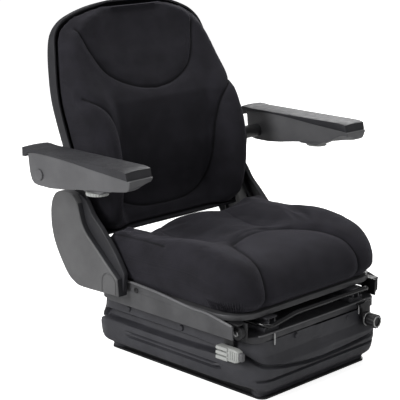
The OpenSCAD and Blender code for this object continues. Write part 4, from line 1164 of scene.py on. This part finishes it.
def side_cover(hand):
    """Moulded cover over the recline joint: a shallow box with a rolled edge and an arch."""
    side = -1 if hand == "right" else 1
    rim = [tuple(p) for p in curve_points(COVER_BACK, 5)]
    ring = [(85, 158)] + [(y, z) for y, z in rim]
    x0, x1 = sorted((side * 224, side * 250))
    cover = plate("cover", ring, x0, x1, 4.0, 5)
    # Nearly black strip behind the cover along its front edge: painted shade where the edge is shaded
    edge = [(86, 162), (176, 162), (240, 200), (262, 260), (262, 310)]
    edge += [(y, z) for y, z in curve_points(LINER_BACK, 4)]
    liner = plate("liner", edge, *sorted((side * 224, side * 236)), 2.0, 3)
    subtract(liner, plate("hollow", inward(edge, 3.2), *sorted((side * 218, side * 232.5)),
                          1.0, 1))
    liner.name = "side_cover_" + hand + "_liner"
    smooth(liner, 40)
    dress(liner, painted_shade_finish, "backrest")
    inner = inward(ring, 3.2)
    a, b = sorted((side * 218, side * 246.6))
    hollow = plate("hollow", inner, a, b, 1.0, 1)
    tools = [hollow]
    arch = [(91 + 0, 150), (91, 181)]
    arch += [(111 - 20 * math.cos(t), 181 + 20 * math.sin(t)) for t in np.linspace(0, math.pi, 17)]
    arch += [(131, 181), (131, 150)]
    if side < 0:
        tools.append(wire("groove", [(-250.2, y, z) for y, z in arch], 2.0, 12))
    else:
        gap = [(y, z) for y, z in arch]
        gap = [(93, 166), (93, 181)]
        gap += [(111 - 18 * math.cos(t), 181 + 18 * math.sin(t))
                for t in np.linspace(0, math.pi, 17)]
        gap += [(129, 166)]
        tools.append(plate("gap", gap, 243, 256, 0.6, 1))
    subtract(cover, *tools)
    cover.name = "side_cover_" + hand + "_moulded"
    smooth(cover, 40)
    dress(cover, cover_finish, "backrest", ["side_cover_" + hand])
    # The front wall and the inside, set behind the rolled edge, take the nearly black material:
    # painted shade on faces turned forward and inward
    cover.data.materials.append(painted_shade_finish)
    for face in cover.data.polygons:
        place = face.center / MM
        forward = face.normal.y < -0.3 and place.y < 205 and abs(place.x) < 247
        if forward or face.normal.x * side < -0.3:
            face.material_index = 1


side_cover("right")
side_cover("left")


# Armrests ------------------------------------------------------------------------

ARM_SIDE = [  # place along, underside, joint with the pad
    (-50, 414, 429), (-46, 410, 430), (-38, 407, 431), (-20, 404, 432), (7, 400, 433.5),
    (50, 395, 436), (100, 388.5, 440), (139, 382, 442), (176, 378, 443), (212, 378, 443),
    (224, 380, 442), (231, 386, 441), (236, 399, 440), (239, 420, 438)]


def armrest(hand):
    """Armrest: moulded shell, deep outside and cut away inside, under a soft pad."""
    side = -1 if hand == "right" else 1
    shell = box("shell", (282, -54, 378), (342, 239, 443))
    cut(shell, 1, [row[0] for row in ARM_SIDE[1:-1]] + [-30, 28, 75, 120, 190])
    cut(shell, 0, [290, 298, 306, 314, 322, 332])
    cut(shell, 2, [400])

    def form(x, y, z):
        low, high = table(ARM_SIDE, y, 1), table(ARM_SIDE, y, 2)
        rise = (1 - step((x - 282) / 40)) * step((10 - y) / 55)
        low += rise * (high - 9 - low)
        share = (z - 378) / 65
        tuck = 2.5 * (1 - share)
        middle = 312
        x = middle + (x - middle) * (1 - tuck / 30)
        if y < -53:
            y = -54 + 4 * (1 - share)
        return x, y, low + share * (high - low)

    shape(shell, form)
    bevel(shell, 4.5, 4, 38)
    bolt_ring = bar("ring", (340, 205, 401), (344.6, 205, 401), 11, 40)
    bevel(bolt_ring, 1.4)
    boss = box("boss", (288, 26, 387.5), (334, 98, 402))
    cut(boss, 1, [40, 84])
    shape(boss, lambda x, y, z: (x, y, z + (7 if z < 392 and (y < 30 or y > 95) else 0)))
    bevel(boss, 3, 3)
    shell = join("armrest_shell_" + hand + "_moulded", shell, bolt_ring, boss)
    smooth(shell, 40)

    pad = box("pad", (280.4, -49, 429), (344.6, 253, 448.6))
    cut(pad, 1, [row[0] for row in ARM_SIDE[1:]] + [-30, 28, 75, 120, 190, 245])
    cut(pad, 0, [288, 300, 312, 324, 336])

    def pad_form(x, y, z):
        low = table(ARM_SIDE, y, 2) + 0.3 - 7 * step((y - 238.5) / 6)
        across = (x - 312.5) / 32.5
        high = 448.8 - 1.6 * across ** 2
        high -= 3.5 * step((-32 - y) / 18) - 1.5 * step((y - 225) / 16)
        share = (z - 429) / 19.6
        if y < -48:
            y += 4 * share
        x -= step((-40 - y) / 10) * (x - 312.5) * 0.04
        return x, y, low + share * (high - low)

    shape(pad, pad_form)
    bevel(pad, 4.2, 4, 38)
    pad.name = "armrest_pad_" + hand + "_foam"
    smooth(pad, 40)

    pieces = [shell, pad]
    if side < 0:
        for piece in pieces:
            piece.data.transform(Matrix.Scale(-1, 4, (1, 0, 0)))
            piece.data.flip_normals()
    body = "armrest_" + hand
    dress(shell, side_finish, body, ["armrest_shell_" + hand])
    dress(pad, pad_finish, body, ["armrest_pad_" + hand])
    eased("thumbwheel_" + hand, "tilt_wheel_" + hand, 0.7, handle_finish)
    wheel = bpy.data.objects["thumbwheel_" + hand]
    places = np.array([vertex.co / MM for vertex in wheel.data.vertices])
    (x, y, low), (x1, y1, high) = places.min(axis=0), places.max(axis=0)
    x, y = (x + x1) / 2, (y + y1) / 2
    shape(wheel, lambda a, b, c: (x + (a - x) * 0.84, y + (b - y) * 0.84,
                                  high + (c - high) * 0.72))


armrest("right")
armrest("left")


# CAD nodes that stay, with their materials -----------------------------------

def node_finish(finish, *names):
    """Gives CAD nodes a material in all their slots."""
    for name in names:
        node = frame["nodes"][name]
        if not node.material_slots:
            node.data.materials.append(finish)
        for slot in node.material_slots:
            slot.material = finish


for node_name in frame["nodes"]:
    node_finish(frame_finish, node_name)
node_finish(zinc_finish, "base_pivot_shaft", "upper_pivot_shaft", "outer_rollers",
            "inner_rollers", "centre_pivot_pins", "recline_bolts", "back_mount_bolts",
            "damper_rod")
node_finish(spring_finish, "damper_tube")
node_finish(rubber_finish, "bump_stops")
